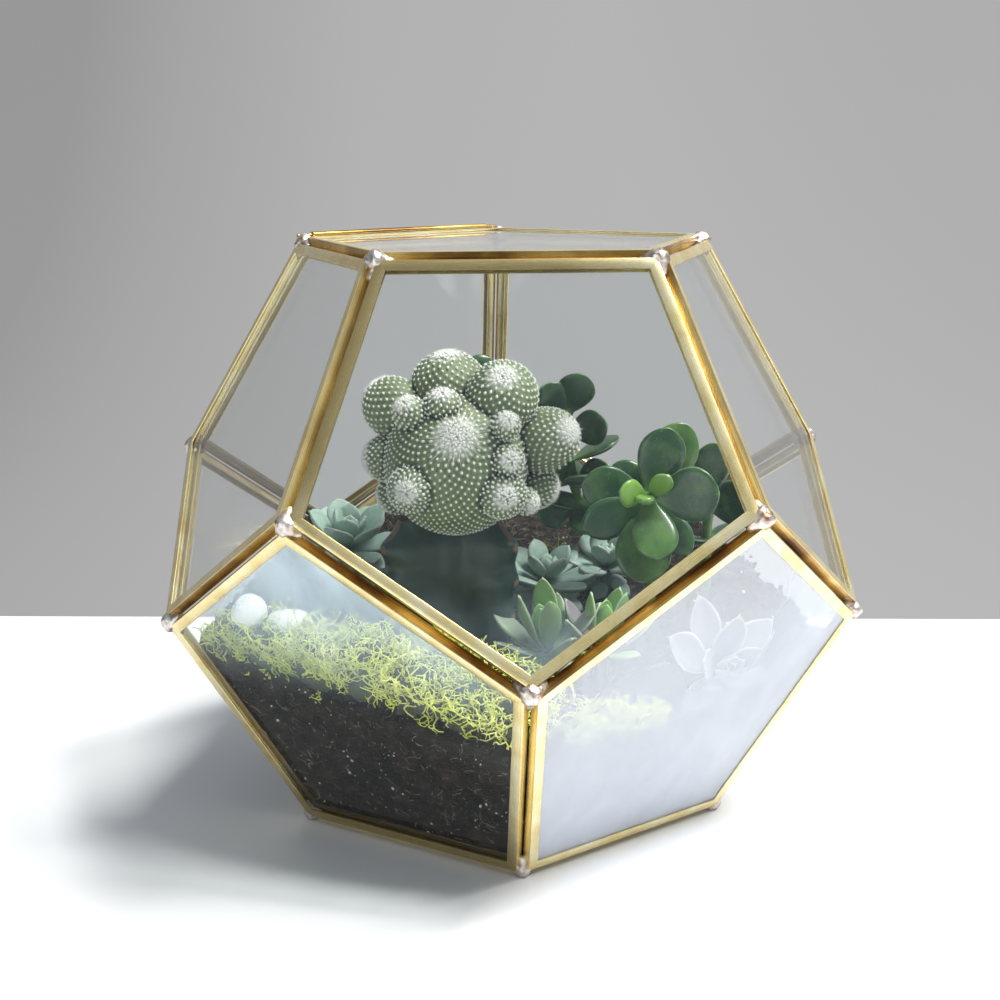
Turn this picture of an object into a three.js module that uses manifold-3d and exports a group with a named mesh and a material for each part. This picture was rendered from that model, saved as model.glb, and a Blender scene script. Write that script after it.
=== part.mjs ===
// Geometric glass terrarium: a regular dodecahedron of brass-framed panes standing on one of its
// pentagons, with one upper pane as a hinged door, planted with a grafted cactus, jade plants,
// rosettes and reindeer moss. Millimetres, +Z up, the front corner towards -Y.
import * as THREE from 'three';
import { ConvexGeometry } from 'three/addons/geometries/ConvexGeometry.js';
import * as BufferGeometryUtils from 'three/addons/utils/BufferGeometryUtils.js';
import Module from 'manifold-3d';

const wasm = await Module();
wasm.setup();

// ---------------------------------------------------------------- driving dimensions
const EDGE = 80; // length of every edge of the dodecahedron, at mid-thickness of the frames
const CAME = 3.2; // width and thickness of the U-shaped brass came
const CAME_WALL = 0.5;
const CAME_GAP = 0.4; // between the inner corners of two neighbouring frames
const PANE_THICKNESS = 1.8;
const CLEARANCE = 0.3; // between pieces that touch or hold each other

const SOLDER_RADIUS = 4.2;
const SOLDER_DEPTH = 1.5; // how far a solder bead's centre lies inside the corner
const PIN_SOLDER_DEPTH = 0.3; // the same where the bead also holds the hinge wire

const HINGE_STAND_OFF = 0.3; // hinge axis outside the outer planes of the roof and the door
const TUBE_RADIUS = 1.1;
const TUBE_BORE = 0.8;
const TUBE_LENGTH = 71;
const WIRE_RADIUS = 0.55;
const WIRE_LENGTH = 82;

const SOIL_FRONT = 44; // height of the soil at the front corner
const SOIL_SLOPE = 0.17; // rise towards the back
const SOIL_BANK = 8; // extra height where the soil banks up at both sides
const SOIL_BUMP = 0.9;
const SOIL_DIP = { x: 42, y: -64, depth: 11, spread: 24 }; // hollow behind the lower right front pane
const SOIL_CELLS = 12;
const ROOT_DEPTH = 5;
const ROOT_SHARE = 0.6; // a rosette's root radius over its crown radius

// ---------------------------------------------------------------- proportions of the solid
const GOLDEN = (1 + Math.sqrt(5)) / 2;
const FIFTH = (2 * Math.PI) / 5;
const INRADIUS = (EDGE / 2) * Math.sqrt(2.5 + 1.1 * Math.sqrt(5));
const SMALL_RING = EDGE / (2 * Math.sin(Math.PI / 5)); // corners of the roof and the base
const LARGE_RING = SMALL_RING * GOLDEN; // the two rings of corners between them
const RING_DROP = Math.sqrt(EDGE ** 2 - (LARGE_RING - SMALL_RING) ** 2);
const HALF_DIHEDRAL = Math.atan(GOLDEN);
const APOTHEM = EDGE / (2 * Math.tan(Math.PI / 5));
const CAME_INSET = CAME / 2 / Math.tan(HALF_DIHEDRAL) + CAME_GAP / 2 / Math.sin(HALF_DIHEDRAL);
const CAME_APOTHEM = APOTHEM - CAME_INSET;
const PANE_APOTHEM = CAME_APOTHEM - CAME_WALL - CLEARANCE;
const CORNER = 1 / Math.cos(Math.PI / 5); // a pentagon's corner radius over its apothem
const CENTRE = new THREE.Vector3(0, 0, INRADIUS + CAME / 2);
const UP = new THREE.Vector3(0, 0, 1);

const RINGS = {
  roof: { radius: SMALL_RING, z: CENTRE.z + INRADIUS, turn: -126 },
  upper: { radius: LARGE_RING, z: CENTRE.z + INRADIUS - RING_DROP, turn: -126 },
  lower: { radius: LARGE_RING, z: CENTRE.z - INRADIUS + RING_DROP, turn: -90 },
  base: { radius: SMALL_RING, z: CENTRE.z - INRADIUS, turn: -90 },
};

// ---------------------------------------------------------------- materials
function material(color, roughness, metalness) {
  return new THREE.MeshStandardMaterial({ color, roughness, metalness });
}

const BRASS = material(0xd9b779, 0.3, 1.0);
const SOLDER = material(0xcfc4b8, 0.35, 1.0);
const GLASS = material(0xe4f0ee, 0.05, 0.0);
GLASS.transparent = true;
GLASS.opacity = 0.25;
const PEAT = material(0x2c221c, 0.95, 0.0);
const MOSS = material(0xb7bf3f, 0.9, 0.0);
const STOCK_GREEN = material(0x2b4140, 0.5, 0.0);
const SCION_GREEN = material(0x7c8a62, 0.7, 0.0);
const JADE = material(0x2f5a35, 0.35, 0.0);
const PALE_BLUE = material(0xa9c4c1, 0.6, 0.0);
const LEAF_GREEN = material(0x6c9a5c, 0.5, 0.0);
const LILAC = material(0xa59aa8, 0.6, 0.0);
const WHITE_STONE = material(0xe9e8e6, 0.5, 0.0);
const GREEN_STONE = material(0xa3ab9c, 0.6, 0.0);

// ---------------------------------------------------------------- solids
function toSolid(geometry) {
  const bare = geometry.clone();
  bare.deleteAttribute('normal');
  bare.deleteAttribute('uv');
  const merged = BufferGeometryUtils.mergeVertices(bare, 1e-4);
  const vertProperties = new Float32Array(merged.attributes.position.array);
  const triVerts = new Uint32Array(merged.index.array);
  return new wasm.Manifold(new wasm.Mesh({ numProp: 3, vertProperties, triVerts }));
}

function toGeometry(solid) {
  const mesh = solid.getMesh();
  const geometry = new THREE.BufferGeometry();
  geometry.setAttribute('position', new THREE.Float32BufferAttribute(mesh.vertProperties, 3));
  geometry.setIndex(new THREE.BufferAttribute(mesh.triVerts, 1));
  geometry.computeVertexNormals();
  return geometry;
}

function join(solids) {
  return solids.reduce((whole, solid) => whole.add(solid));
}

function cut(solid, cutters) {
  return cutters.reduce((rest, cutter) => rest.subtract(cutter), solid);
}

function largestPiece(solid) {
  const pieces = solid.decompose();
  return pieces.reduce((best, piece) => (piece.volume() > best.volume() ? piece : best));
}

function seededRandom(seed) {
  let state = seed;
  return () => {
    state = (state + 0x6d2b79f5) | 0;
    let mixed = Math.imul(state ^ (state >>> 15), 1 | state);
    mixed = (mixed + Math.imul(mixed ^ (mixed >>> 7), 61 | mixed)) ^ mixed;
    return ((mixed ^ (mixed >>> 14)) >>> 0) / 4294967296;
  };
}

// Closed skin through rings of points, each ring counter-clockwise about the way from start to end.
// With "chequered", every second point is a peak and no triangle's side joins two of them.
function loft(start, rings, end, chequered = false) {
  const count = rings[0].length;
  const points = [start, ...rings.flat(), end];
  const last = points.length - 1;
  const index = [];
  for (let j = 0; j < count; j += 1) {
    const next = (j + 1) % count;
    index.push(0, 1 + next, 1 + j);
    for (let i = 0; i < rings.length - 1; i += 1) {
      const near = 1 + i * count;
      const far = near + count;
      if (chequered && (i + j) % 2 === 0) {
        index.push(near + j, near + next, far + j);
        index.push(near + next, far + next, far + j);
      } else {
        index.push(near + j, near + next, far + next);
        index.push(near + j, far + next, far + j);
      }
    }
    index.push(last, last - count + j, last - count + next);
  }
  const geometry = new THREE.BufferGeometry().setFromPoints(points);
  geometry.setIndex(index);
  return geometry;
}

// ---------------------------------------------------------------- corners and faces
function corner(ringName, number) {
  const { radius, z, turn } = RINGS[ringName];
  const angle = THREE.MathUtils.degToRad(turn) + FIFTH * number;
  return new THREE.Vector3(radius * Math.cos(angle), radius * Math.sin(angle), z);
}

function faceCorners(kind, i) {
  if (kind === 'roof' || kind === 'base') {
    return [0, 1, 2, 3, 4].map((number) => corner(kind, number));
  }
  if (kind === 'upper') {
    return [corner('roof', i), corner('roof', i + 1), corner('upper', i + 1), corner('lower', i),
      corner('upper', i)];
  }
  return [corner('upper', i), corner('lower', i - 1), corner('base', i - 1), corner('base', i),
    corner('lower', i)];
}

const FACES = [
  { name: 'roof', kind: 'roof', i: 0 },
  { name: 'base', kind: 'base', i: 0 },
  { name: 'upper_front', kind: 'upper', i: 0 },
  { name: 'upper_right', kind: 'upper', i: 1 },
  { name: 'upper_back_right', kind: 'upper', i: 2 },
  { name: 'door', kind: 'upper', i: 3 },
  { name: 'upper_left', kind: 'upper', i: 4 },
  { name: 'lower_front_left', kind: 'lower', i: 0 },
  { name: 'lower_front_right', kind: 'lower', i: 1 },
  { name: 'lower_right', kind: 'lower', i: 2 },
  { name: 'lower_back', kind: 'lower', i: 3 },
  { name: 'lower_left', kind: 'lower', i: 4 },
];

// Each face's own frame: origin at the pentagon's middle, +Y outward, +Z towards its first corner.
for (const face of FACES) {
  face.corners = faceCorners(face.kind, face.i);
  const middle = new THREE.Vector3();
  face.corners.forEach((point) => middle.addScaledVector(point, 1 / 5));
  const outward = middle.clone().sub(CENTRE).normalize();
  const toCorner = face.corners[0].clone().sub(middle).normalize();
  const across = new THREE.Vector3().crossVectors(outward, toCorner);
  face.frame = new THREE.Matrix4().makeBasis(across, outward, toCorner).setPosition(middle);
}
const DOOR = FACES.find((face) => face.name === 'door');

function pentagonPrism(apothem, low, high) {
  const radius = apothem * CORNER;
  const prism = new THREE.CylinderGeometry(radius, radius, high - low, 5);
  prism.translate(0, (low + high) / 2, 0);
  return prism;
}

// Everything inside the frames, kept clear of their inner flanges.
function insideEnvelope(gap) {
  const scale = (INRADIUS - CAME / 2 - gap) / INRADIUS;
  const points = [];
  for (const ringName of Object.keys(RINGS)) {
    for (let i = 0; i < 5; i += 1) {
      points.push(corner(ringName, i).sub(CENTRE).multiplyScalar(scale).add(CENTRE));
    }
  }
  return toSolid(new ConvexGeometry(points));
}

const INSIDE = insideEnvelope(CLEARANCE);

// ---------------------------------------------------------------- panes, cames and door
function cameGeometry() {
  const outer = CAME_APOTHEM * CORNER;
  const web = (CAME_APOTHEM - CAME_WALL) * CORNER;
  const inner = (CAME_APOTHEM - CAME) * CORNER;
  const half = CAME / 2;
  const slot = half - CAME_WALL;
  const profile = [
    [outer, -half], [outer, half], [inner, half], [inner, slot], [web, slot], [web, -slot],
    [inner, -slot], [inner, -half], [outer, -half],
  ].map(([radius, height]) => new THREE.Vector2(radius, height));
  return new THREE.LatheGeometry(profile, 5);
}

function paneGeometry() {
  return pentagonPrism(PANE_APOTHEM, -PANE_THICKNESS / 2, PANE_THICKNESS / 2);
}

// The hinge line runs along the door's top edge, just outside the groove between roof and door.
const HINGE = (() => {
  const left = corner('roof', 4);
  const right = corner('roof', 3);
  const middle = left.clone().add(right).multiplyScalar(0.5);
  const away = new THREE.Vector3(middle.x, middle.y, 0).normalize();
  const rise = CAME / 2 + HINGE_STAND_OFF;
  const origin = middle.clone().addScaledVector(away, rise / GOLDEN).addScaledVector(UP, rise);
  const axis = right.clone().sub(left).normalize();
  return { origin, axis, frame: new THREE.Matrix4().makeBasis(
    new THREE.Vector3().crossVectors(axis, UP), axis, UP).setPosition(origin) };
})();

function hingeRod(radius, length) {
  const rod = new THREE.CylinderGeometry(radius, radius, length, 12);
  rod.applyMatrix4(HINGE.frame);
  return toSolid(rod);
}

// Solder seam that fastens the tube to the web of the door's came, as a bar along the hinge line.
function hingeSeam() {
  const slope = Math.PI - 2 * HALF_DIHEDRAL;
  const rise = CAME / 2 + HINGE_STAND_OFF;
  const start = new THREE.Vector2(-rise / GOLDEN, -rise);
  const down = new THREE.Vector2(Math.cos(slope), -Math.sin(slope));
  const outward = new THREE.Vector2(Math.sin(slope), Math.cos(slope));
  const at = (inset, height) => start.clone().addScaledVector(down, inset)
    .addScaledVector(outward, height);
  const seam = new THREE.Shape([
    at(CAME_INSET + 0.2, 0), at(CAME_INSET + 0.2, CAME / 2 - 0.2),
    at(-1.0, rise + 0.6), at(-1.7, rise - 0.6),
  ]);
  const bar = new THREE.ExtrudeGeometry(seam, { depth: TUBE_LENGTH, bevelEnabled: false });
  bar.translate(0, 0, -TUBE_LENGTH / 2);
  bar.applyMatrix4(new THREE.Matrix4().makeBasis(
    new THREE.Vector3(-1, 0, 0), new THREE.Vector3(0, 0, 1), new THREE.Vector3(0, 1, 0)));
  bar.applyMatrix4(HINGE.frame);
  return toSolid(bar);
}

function doorCame() {
  const ring = cameGeometry();
  ring.applyMatrix4(DOOR.frame);
  const tube = hingeRod(TUBE_RADIUS, TUBE_LENGTH);
  const bore = hingeRod(TUBE_BORE, TUBE_LENGTH + 2);
  return toGeometry(join([toSolid(ring), tube, hingeSeam()]).subtract(bore));
}

// ---------------------------------------------------------------- solder
// Room that a frame takes at a corner, out to the bead side, with clearance.
function frameRoom(face) {
  const top = face === DOOR ? 12 : CAME / 2 + CLEARANCE;
  const room = pentagonPrism(CAME_APOTHEM + CLEARANCE, -30, top);
  room.applyMatrix4(face.frame);
  return toSolid(room);
}

const FRAME_ROOM = new Map(FACES.map((face) => [face, frameRoom(face)]));

// Room that the corners of the door sweep as it swings, as a truncated cone about the hinge line.
function doorSweep() {
  const start = EDGE / 2 - 1.2;
  const flare = Math.tan(Math.PI / 10);
  const reach = 12;
  const profile = [[0, -start], [reach, -start - reach * flare], [reach, start + reach * flare],
    [0, start]].map(([radius, height]) => new THREE.Vector2(radius, height));
  const cone = new THREE.LatheGeometry(profile, 16);
  cone.applyMatrix4(HINGE.frame);
  return toSolid(cone);
}

function solderBead(point, random) {
  const faces = FACES.filter((face) => face.corners.some((c) => c.distanceTo(point) < 1));
  const holdsWire = Math.abs(point.clone().sub(HINGE.origin).dot(HINGE.axis)) > 10
    && point.distanceTo(HINGE.origin) < EDGE * 0.6;
  const depth = holdsWire ? PIN_SOLDER_DEPTH : SOLDER_DEPTH;
  const inward = CENTRE.clone().sub(point).normalize();
  const bead = new THREE.OctahedronGeometry(SOLDER_RADIUS, 1);
  bead.rotateZ(random() * Math.PI);
  bead.rotateX(random() * Math.PI);
  bead.translate(...point.clone().addScaledVector(inward, depth).toArray());
  const cutters = faces.map((face) => FRAME_ROOM.get(face));
  if (holdsWire) {
    cutters.push(doorSweep(), hingeRod(WIRE_RADIUS + CLEARANCE, WIRE_LENGTH + 2 * CLEARANCE));
  }
  const below = new THREE.BoxGeometry(400, 400, 40);
  below.translate(0, 0, CLEARANCE - 20);
  cutters.push(toSolid(below));
  return toGeometry(largestPiece(cut(toSolid(bead), cutters)));
}

// ---------------------------------------------------------------- soil
function soilHeight(x, y) {
  const slope = SOIL_FRONT + SOIL_SLOPE * (y + SMALL_RING * 1.3);
  const bank = SOIL_BANK * (x / 90) ** 2;
  const dip = SOIL_DIP.depth
    * Math.exp(-((x - SOIL_DIP.x) ** 2 + (y - SOIL_DIP.y) ** 2) / (2 * SOIL_DIP.spread ** 2));
  const bumps = Math.sin(x * 0.21 + 1.3) * Math.cos(y * 0.17) + 0.6 * Math.sin(x * 0.43 - y * 0.37);
  return slope + bank - dip + SOIL_BUMP * bumps;
}

function soilBlock(lift) {
  const side = 2 * LARGE_RING + 10;
  const block = new THREE.BoxGeometry(side, side, 2, SOIL_CELLS, SOIL_CELLS, 1);
  const place = block.attributes.position;
  for (let i = 0; i < place.count; i += 1) {
    const top = place.getZ(i) > 0;
    place.setZ(i, top ? soilHeight(place.getX(i), place.getY(i)) + lift : -5);
  }
  return toSolid(block);
}

function standingHole(x, y, radius, depth) {
  const hole = new THREE.CylinderGeometry(radius, radius, depth + 20, 10);
  hole.rotateX(Math.PI / 2);
  hole.translate(x, y, soilHeight(x, y) - depth / 2 + 10);
  return toSolid(hole);
}

// ---------------------------------------------------------------- leaves and stems
// Fractions of a leaf's length where its section is set.
const STATIONS = [0.05, 0.35, 0.68, 0.92];

// Thick leaf along +Y with its upper face to +Z. Its outline is widest at the fraction "widest" and
// its end is rounder the smaller "taper" is. "curl" bends it up, "cup" raises its margins.
function leafGeometry({ length, width, thickness, widest, taper, base, curl, cup }) {
  const power = Math.log(0.5) / Math.log(widest);
  const midrib = (t) => (Math.abs(curl) < 0.01
    ? new THREE.Vector3(0, length * t, 0)
    : new THREE.Vector3(0, (length * Math.sin(curl * t)) / curl,
      (length * (1 - Math.cos(curl * t))) / curl));
  const rings = STATIONS.map((t) => {
    const swell = Math.max(Math.sin(Math.PI * t ** power) ** taper, t < widest ? base : 0);
    const half = (width / 2) * swell;
    const deep = (thickness / 2) * Math.max(swell, 0.55);
    const lift = cup * half;
    const normal = new THREE.Vector3(0, -Math.sin(curl * t), Math.cos(curl * t));
    const at = (x, z) => midrib(t).add(new THREE.Vector3(x, 0, 0)).addScaledVector(normal, z);
    return [at(half, lift), at(0, -deep), at(-half, lift), at(0, deep)];
  });
  return loft(midrib(0), rings, midrib(1));
}

// Sets a leaf at "foot", pointing along "direction", with its upper face turned towards "face".
function placeLeaf(leaf, foot, direction, face) {
  const along = direction.clone().normalize();
  const upper = face.clone().addScaledVector(along, -face.dot(along)).normalize();
  const across = new THREE.Vector3().crossVectors(along, upper);
  const geometry = leafGeometry(leaf);
  geometry.applyMatrix4(new THREE.Matrix4().makeBasis(across, along, upper).setPosition(foot));
  return toSolid(geometry);
}

function stemSolid(points, radius, sides = 6) {
  const path = new THREE.CatmullRomCurve3(points);
  const circle = new THREE.Shape(Array.from({ length: sides }, (_, i) => {
    const angle = (2 * Math.PI * i) / sides;
    return new THREE.Vector2(radius * Math.cos(angle), radius * Math.sin(angle));
  }));
  const steps = 2 * (points.length - 1);
  return toSolid(new THREE.ExtrudeGeometry(circle, { steps, extrudePath: path }));
}

const v = (x, y, z) => new THREE.Vector3(x, y, z);

const SOIL_ROOM = soilBlock(CLEARANCE);

// Rosette of leaf whorls round a short crown that stands in the soil. Each whorl goes from the
// outside in: count, leaf length and width, and how high the leaves point, in degrees.
function rosette({ x, y, lift, radius, axis, whorls, leaf, seed }) {
  const random = seededRandom(seed);
  const ground = soilHeight(x, y);
  const crown = v(x, y, ground + lift);
  const tilt = new THREE.Quaternion().setFromUnitVectors(UP, axis.clone().normalize());
  const core = new THREE.SphereGeometry(radius, 8, 5);
  core.translate(...crown.toArray());
  const solids = [toSolid(core)];
  whorls.forEach(({ count, length, width, rise, height }, ring) => {
    for (let i = 0; i < count; i += 1) {
      const angle = (2 * Math.PI * (i + ring * 0.5 + 0.3 * (random() - 0.5))) / count;
      const pitch = THREE.MathUtils.degToRad(rise + 8 * (random() - 0.5));
      const size = 1 + 0.16 * (random() - 0.5);
      const flat = v(Math.cos(angle), Math.sin(angle), 0);
      const way = flat.clone().multiplyScalar(Math.cos(pitch)).addScaledVector(UP, Math.sin(pitch));
      const foot = flat.clone().multiplyScalar(radius * 0.25).addScaledVector(UP, height);
      const shape = { ...leaf, length: length * size, width: width * size };
      solids.push(placeLeaf(shape, crown.clone().add(foot.applyQuaternion(tilt)),
        way.applyQuaternion(tilt), UP.clone().applyQuaternion(tilt)));
    }
  });
  const root = stemSolid([v(x, y, ground - ROOT_DEPTH), crown], radius * ROOT_SHARE);
  return largestPiece(join(solids).subtract(SOIL_ROOM).add(root).intersect(INSIDE));
}

// ---------------------------------------------------------------- grafted cactus
const STOCK = { x: -19.5, y: -19, reach: 23.7, top: 98.5, shoulder: 89, waist: 0.8 };

// Three-angled stem: ribs to the left, the right and the back, concave faces between them.
function stockSection(scale) {
  const points = [];
  for (let i = 0; i < 18; i += 1) {
    const angle = (2 * Math.PI * i) / 18 + Math.PI / 2;
    const rib = Math.abs(Math.cos(1.5 * (angle - Math.PI / 2)));
    const radius = STOCK.reach * scale * (0.5 + 0.5 * rib ** 4);
    points.push(v(radius * Math.cos(angle), radius * Math.sin(angle), 0));
  }
  return points;
}

function stockSolid(extra) {
  const foot = soilHeight(STOCK.x, STOCK.y) - 9 - 10 * extra;
  const levels = [
    { z: foot, scale: 0.72 }, { z: foot + 8, scale: STOCK.waist }, { z: foot + 16, scale: 0.93 },
    { z: 78, scale: 1.0 }, { z: STOCK.shoulder, scale: 1.0 }, { z: STOCK.shoulder + 3, scale: 0.95 },
    { z: STOCK.top, scale: 0.74 },
  ];
  const rings = levels.map(({ z, scale }) => stockSection(scale + extra)
    .map((point) => point.add(v(STOCK.x, STOCK.y, z))));
  return toSolid(loft(v(STOCK.x, STOCK.y, levels[0].z), rings, v(STOCK.x, STOCK.y, STOCK.top)));
}

// Heads of the clustered scion: where each one is, its two radii, the way its woolly tip points,
// and how many rows of tubercles it has.
const HEADS = [
  { at: v(-17.3, -25, 115.5), radius: 21.6, long: 20.6, tip: v(0, -0.83, 0.56), rows: 13 },
  { at: v(-19, -14, 137.6), radius: 11.6, long: 10.6, tip: v(-0.1, -0.2, 1), rows: 7 },
  { at: v(-3, -25, 136), radius: 10.8, long: 10.4, tip: v(-0.05, -0.7, 0.7), rows: 7 },
  { at: v(9.4, -21, 121.5), radius: 9.8, long: 13, tip: v(0.75, -0.55, 0.35), rows: 7 },
  { at: v(8, -18, 106.5), radius: 6.8, long: 6.4, tip: v(0.9, -0.1, -0.3), rows: 5 },
  { at: v(-36, -16, 131.5), radius: 9.2, long: 9.6, tip: v(-0.7, 0.3, 0.6), rows: 7 },
  { at: v(-38.5, -19, 116.3), radius: 7, long: 6.6, tip: v(-1, 0, -0.1), rows: 5 },
  { at: v(-35.5, -18, 104.8), radius: 6.2, long: 5.8, tip: v(-0.8, 0.1, -0.4), rows: 5 },
  { at: v(-31, -33, 132.5), radius: 5, long: 4.8, tip: v(-0.4, -0.5, 0.8), rows: 5 },
  { at: v(-21.3, -33, 135), radius: 5.4, long: 4.2, tip: v(-0.05, -0.4, 0.9), rows: 5 },
  { at: v(-2.6, -38, 129), radius: 4.1, long: 4.3, tip: v(0.1, -0.7, 0.6), rows: 5 },
  { at: v(-2.2, -41, 119), radius: 4.7, long: 4.6, tip: v(0.15, -0.9, 0.2), rows: 5 },
  { at: v(-31, -39.5, 111), radius: 6.8, long: 6.4, tip: v(-0.25, -1, 0.05), rows: 5 },
  { at: v(-4, -39.5, 109), radius: 7.1, long: 6.6, tip: v(0.15, -1, 0.05), rows: 5 },
  { at: v(3, -33, 105.3), radius: 4, long: 4.6, tip: v(0.7, -0.7, -0.2), rows: 5 },
  { at: v(-22, -4, 124), radius: 12, long: 11, tip: v(-0.2, 0.9, 0.3), rows: 6 },
  { at: v(-6, -6, 113), radius: 11, long: 10.5, tip: v(0.3, 0.95, -0.05), rows: 6 },
];
const TUBERCLE_RELIEF = 0.035;

// A head is a globe whose grid points rise and fall in turn, so that every second one is a tubercle.
function headSolid({ at, radius, long, tip, rows }, grow = 0) {
  const around = 2 * Math.round(rows * 0.85);
  const rings = [];
  for (let i = 1; i < rows; i += 1) {
    const polar = (Math.PI * (rows - i)) / rows;
    const ring = [];
    for (let j = 0; j < around; j += 1) {
      const angle = (2 * Math.PI * (j + i * 0.18)) / around;
      const relief = 1 + TUBERCLE_RELIEF * (grow > 0 || (i + j) % 2 ? 1 : -1);
      const side = (radius * relief + grow) * Math.sin(polar);
      ring.push(v(side * Math.cos(angle), side * Math.sin(angle),
        (long * relief + grow) * Math.cos(polar)));
    }
    rings.push(ring);
  }
  const geometry = loft(v(0, 0, -long - grow), rings, v(0, 0, (long + grow) * 0.97), true);
  geometry.applyQuaternion(new THREE.Quaternion().setFromUnitVectors(UP, tip.clone().normalize()));
  geometry.translate(...at.toArray());
  return toSolid(geometry);
}

// ---------------------------------------------------------------- jade plants
const JADE_LEAF = { thickness: 3.8, widest: 0.62, taper: 0.62, base: 0.3, curl: 0.25, cup: 0.1 };

// A leafy stem: "path" runs from the soil to the tip, each leaf has its foot, the way it points,
// the way its upper face looks, its length and its width.
function jadeStem(path, radius, leaves) {
  const solids = [stemSolid(path, radius)];
  for (const { foot, way, face, length, width } of leaves) {
    solids.push(placeLeaf({ ...JADE_LEAF, length, width }, foot, way, face));
  }
  return largestPiece(join(solids).intersect(INSIDE));
}

function leafPair(foot, side, length, width, rise) {
  return [1, -1].map((sign) => {
    const flat = v(Math.cos(side), Math.sin(side), 0).multiplyScalar(sign);
    return { foot, way: flat.addScaledVector(UP, rise), face: UP, length, width };
  });
}

// ---------------------------------------------------------------- moss and pebbles
function pebbleSolid({ at, size, turn }, grow = 0) {
  const stone = new THREE.IcosahedronGeometry(1, 1);
  stone.scale(size.x + grow, size.y + grow, size.z + grow);
  stone.rotateZ(turn);
  stone.translate(...at.toArray());
  return toSolid(stone);
}

// A bent, three-sided strand of lichen.
function strandSolid(foot, way, length, random) {
  const side = new THREE.Vector3().crossVectors(way, v(0.3, 0.2, 0.9)).normalize();
  const other = new THREE.Vector3().crossVectors(way, side).normalize();
  const bend = (random() - 0.5) * length * 0.5;
  const ringAt = (t, thick) => {
    const middle = foot.clone().addScaledVector(way, length * t).addScaledVector(side, bend * t * t);
    return [0, 1, 2].map((k) => {
      const angle = (2 * Math.PI * k) / 3;
      return middle.clone().addScaledVector(side, thick * Math.cos(angle))
        .addScaledVector(other, thick * Math.sin(angle));
    });
  };
  const start = foot.clone().addScaledVector(way, -0.5);
  const end = foot.clone().addScaledVector(way, length).addScaledVector(side, bend);
  return toSolid(loft(start, [ringAt(0.4, 0.9)], end));
}

function mossSolid(cushions, strandsEach, seed) {
  const random = seededRandom(seed);
  const solids = [];
  for (const [x, y, z, radius] of cushions) {
    const pad = new THREE.IcosahedronGeometry(radius, 1);
    pad.rotateZ(random() * Math.PI);
    pad.scale(1, 1, 0.85);
    pad.translate(x, y, z);
    solids.push(toSolid(pad));
    for (let i = 0; i < strandsEach; i += 1) {
      const angle = 2 * Math.PI * (i / strandsEach + 0.1 * random());
      const rise = 0.15 + 1.1 * random();
      const way = v(Math.cos(angle) * Math.cos(rise), Math.sin(angle) * Math.cos(rise), Math.sin(rise));
      const foot = v(x, y, z).addScaledVector(way, radius * 0.75);
      solids.push(strandSolid(foot, way, radius * (0.45 + 0.4 * random()), random));
    }
  }
  return join(solids);
}

// ---------------------------------------------------------------- assembly
const terrarium = new THREE.Group();
terrarium.name = 'glass_plant_terrarium';

function addPiece(name, geometry, look, parent = terrarium) {
  const mesh = new THREE.Mesh(geometry, look);
  mesh.name = name;
  parent.add(mesh);
}

function addHolder() {
  for (const face of FACES) {
    const place = new THREE.Group();
    place.applyMatrix4(face.frame);
    terrarium.add(place);
    addPiece(`pane_${face.name}`, paneGeometry(), GLASS, place);
    if (face !== DOOR) addPiece(`came_${face.name}`, cameGeometry(), BRASS, place);
  }
  addPiece('came_door', doorCame(), BRASS);
  addPiece('hinge_wire', toGeometry(hingeRod(WIRE_RADIUS, WIRE_LENGTH)), BRASS);
  const random = seededRandom(7);
  for (const ringName of Object.keys(RINGS)) {
    for (let i = 0; i < 5; i += 1) {
      addPiece(`solder_${ringName}_${i + 1}`, solderBead(corner(ringName, i), random), SOLDER);
    }
  }
}

const STOCK_GROWTH = 0.03; // enlarges the stock's outline by the clearance that its hole needs

const PEBBLES = {
  pebble_white_large: { at: v(-79.5, -40.5, 74.5), size: v(5.4, 4.6, 5.2), turn: 0.4, look: WHITE_STONE },
  pebble_white_small: { at: v(-67.5, -44, 72), size: v(6.8, 5, 3.8), turn: -0.3, look: WHITE_STONE },
  pebble_green: { at: v(15, -47, 56.2), size: v(4.6, 3.6, 3.4), turn: 0.8, look: GREEN_STONE },
};

// Moss cushions as [x, y, z, radius], along the two front panes.
const MOSS_CUSHIONS = [
  [-84, -32, 63, 11], [-74, -42, 63, 13], [-60, -52, 62, 15], [-45, -60, 62, 15], [-30, -68, 59, 14],
  [-16, -75, 55, 12], [-2, -79, 52, 11], [12, -76, 49, 10], [25, -70, 46, 10], [37, -63, 44, 8],
  [-23, -59, 63, 12], [-8, -66, 57, 11],
];

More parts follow.
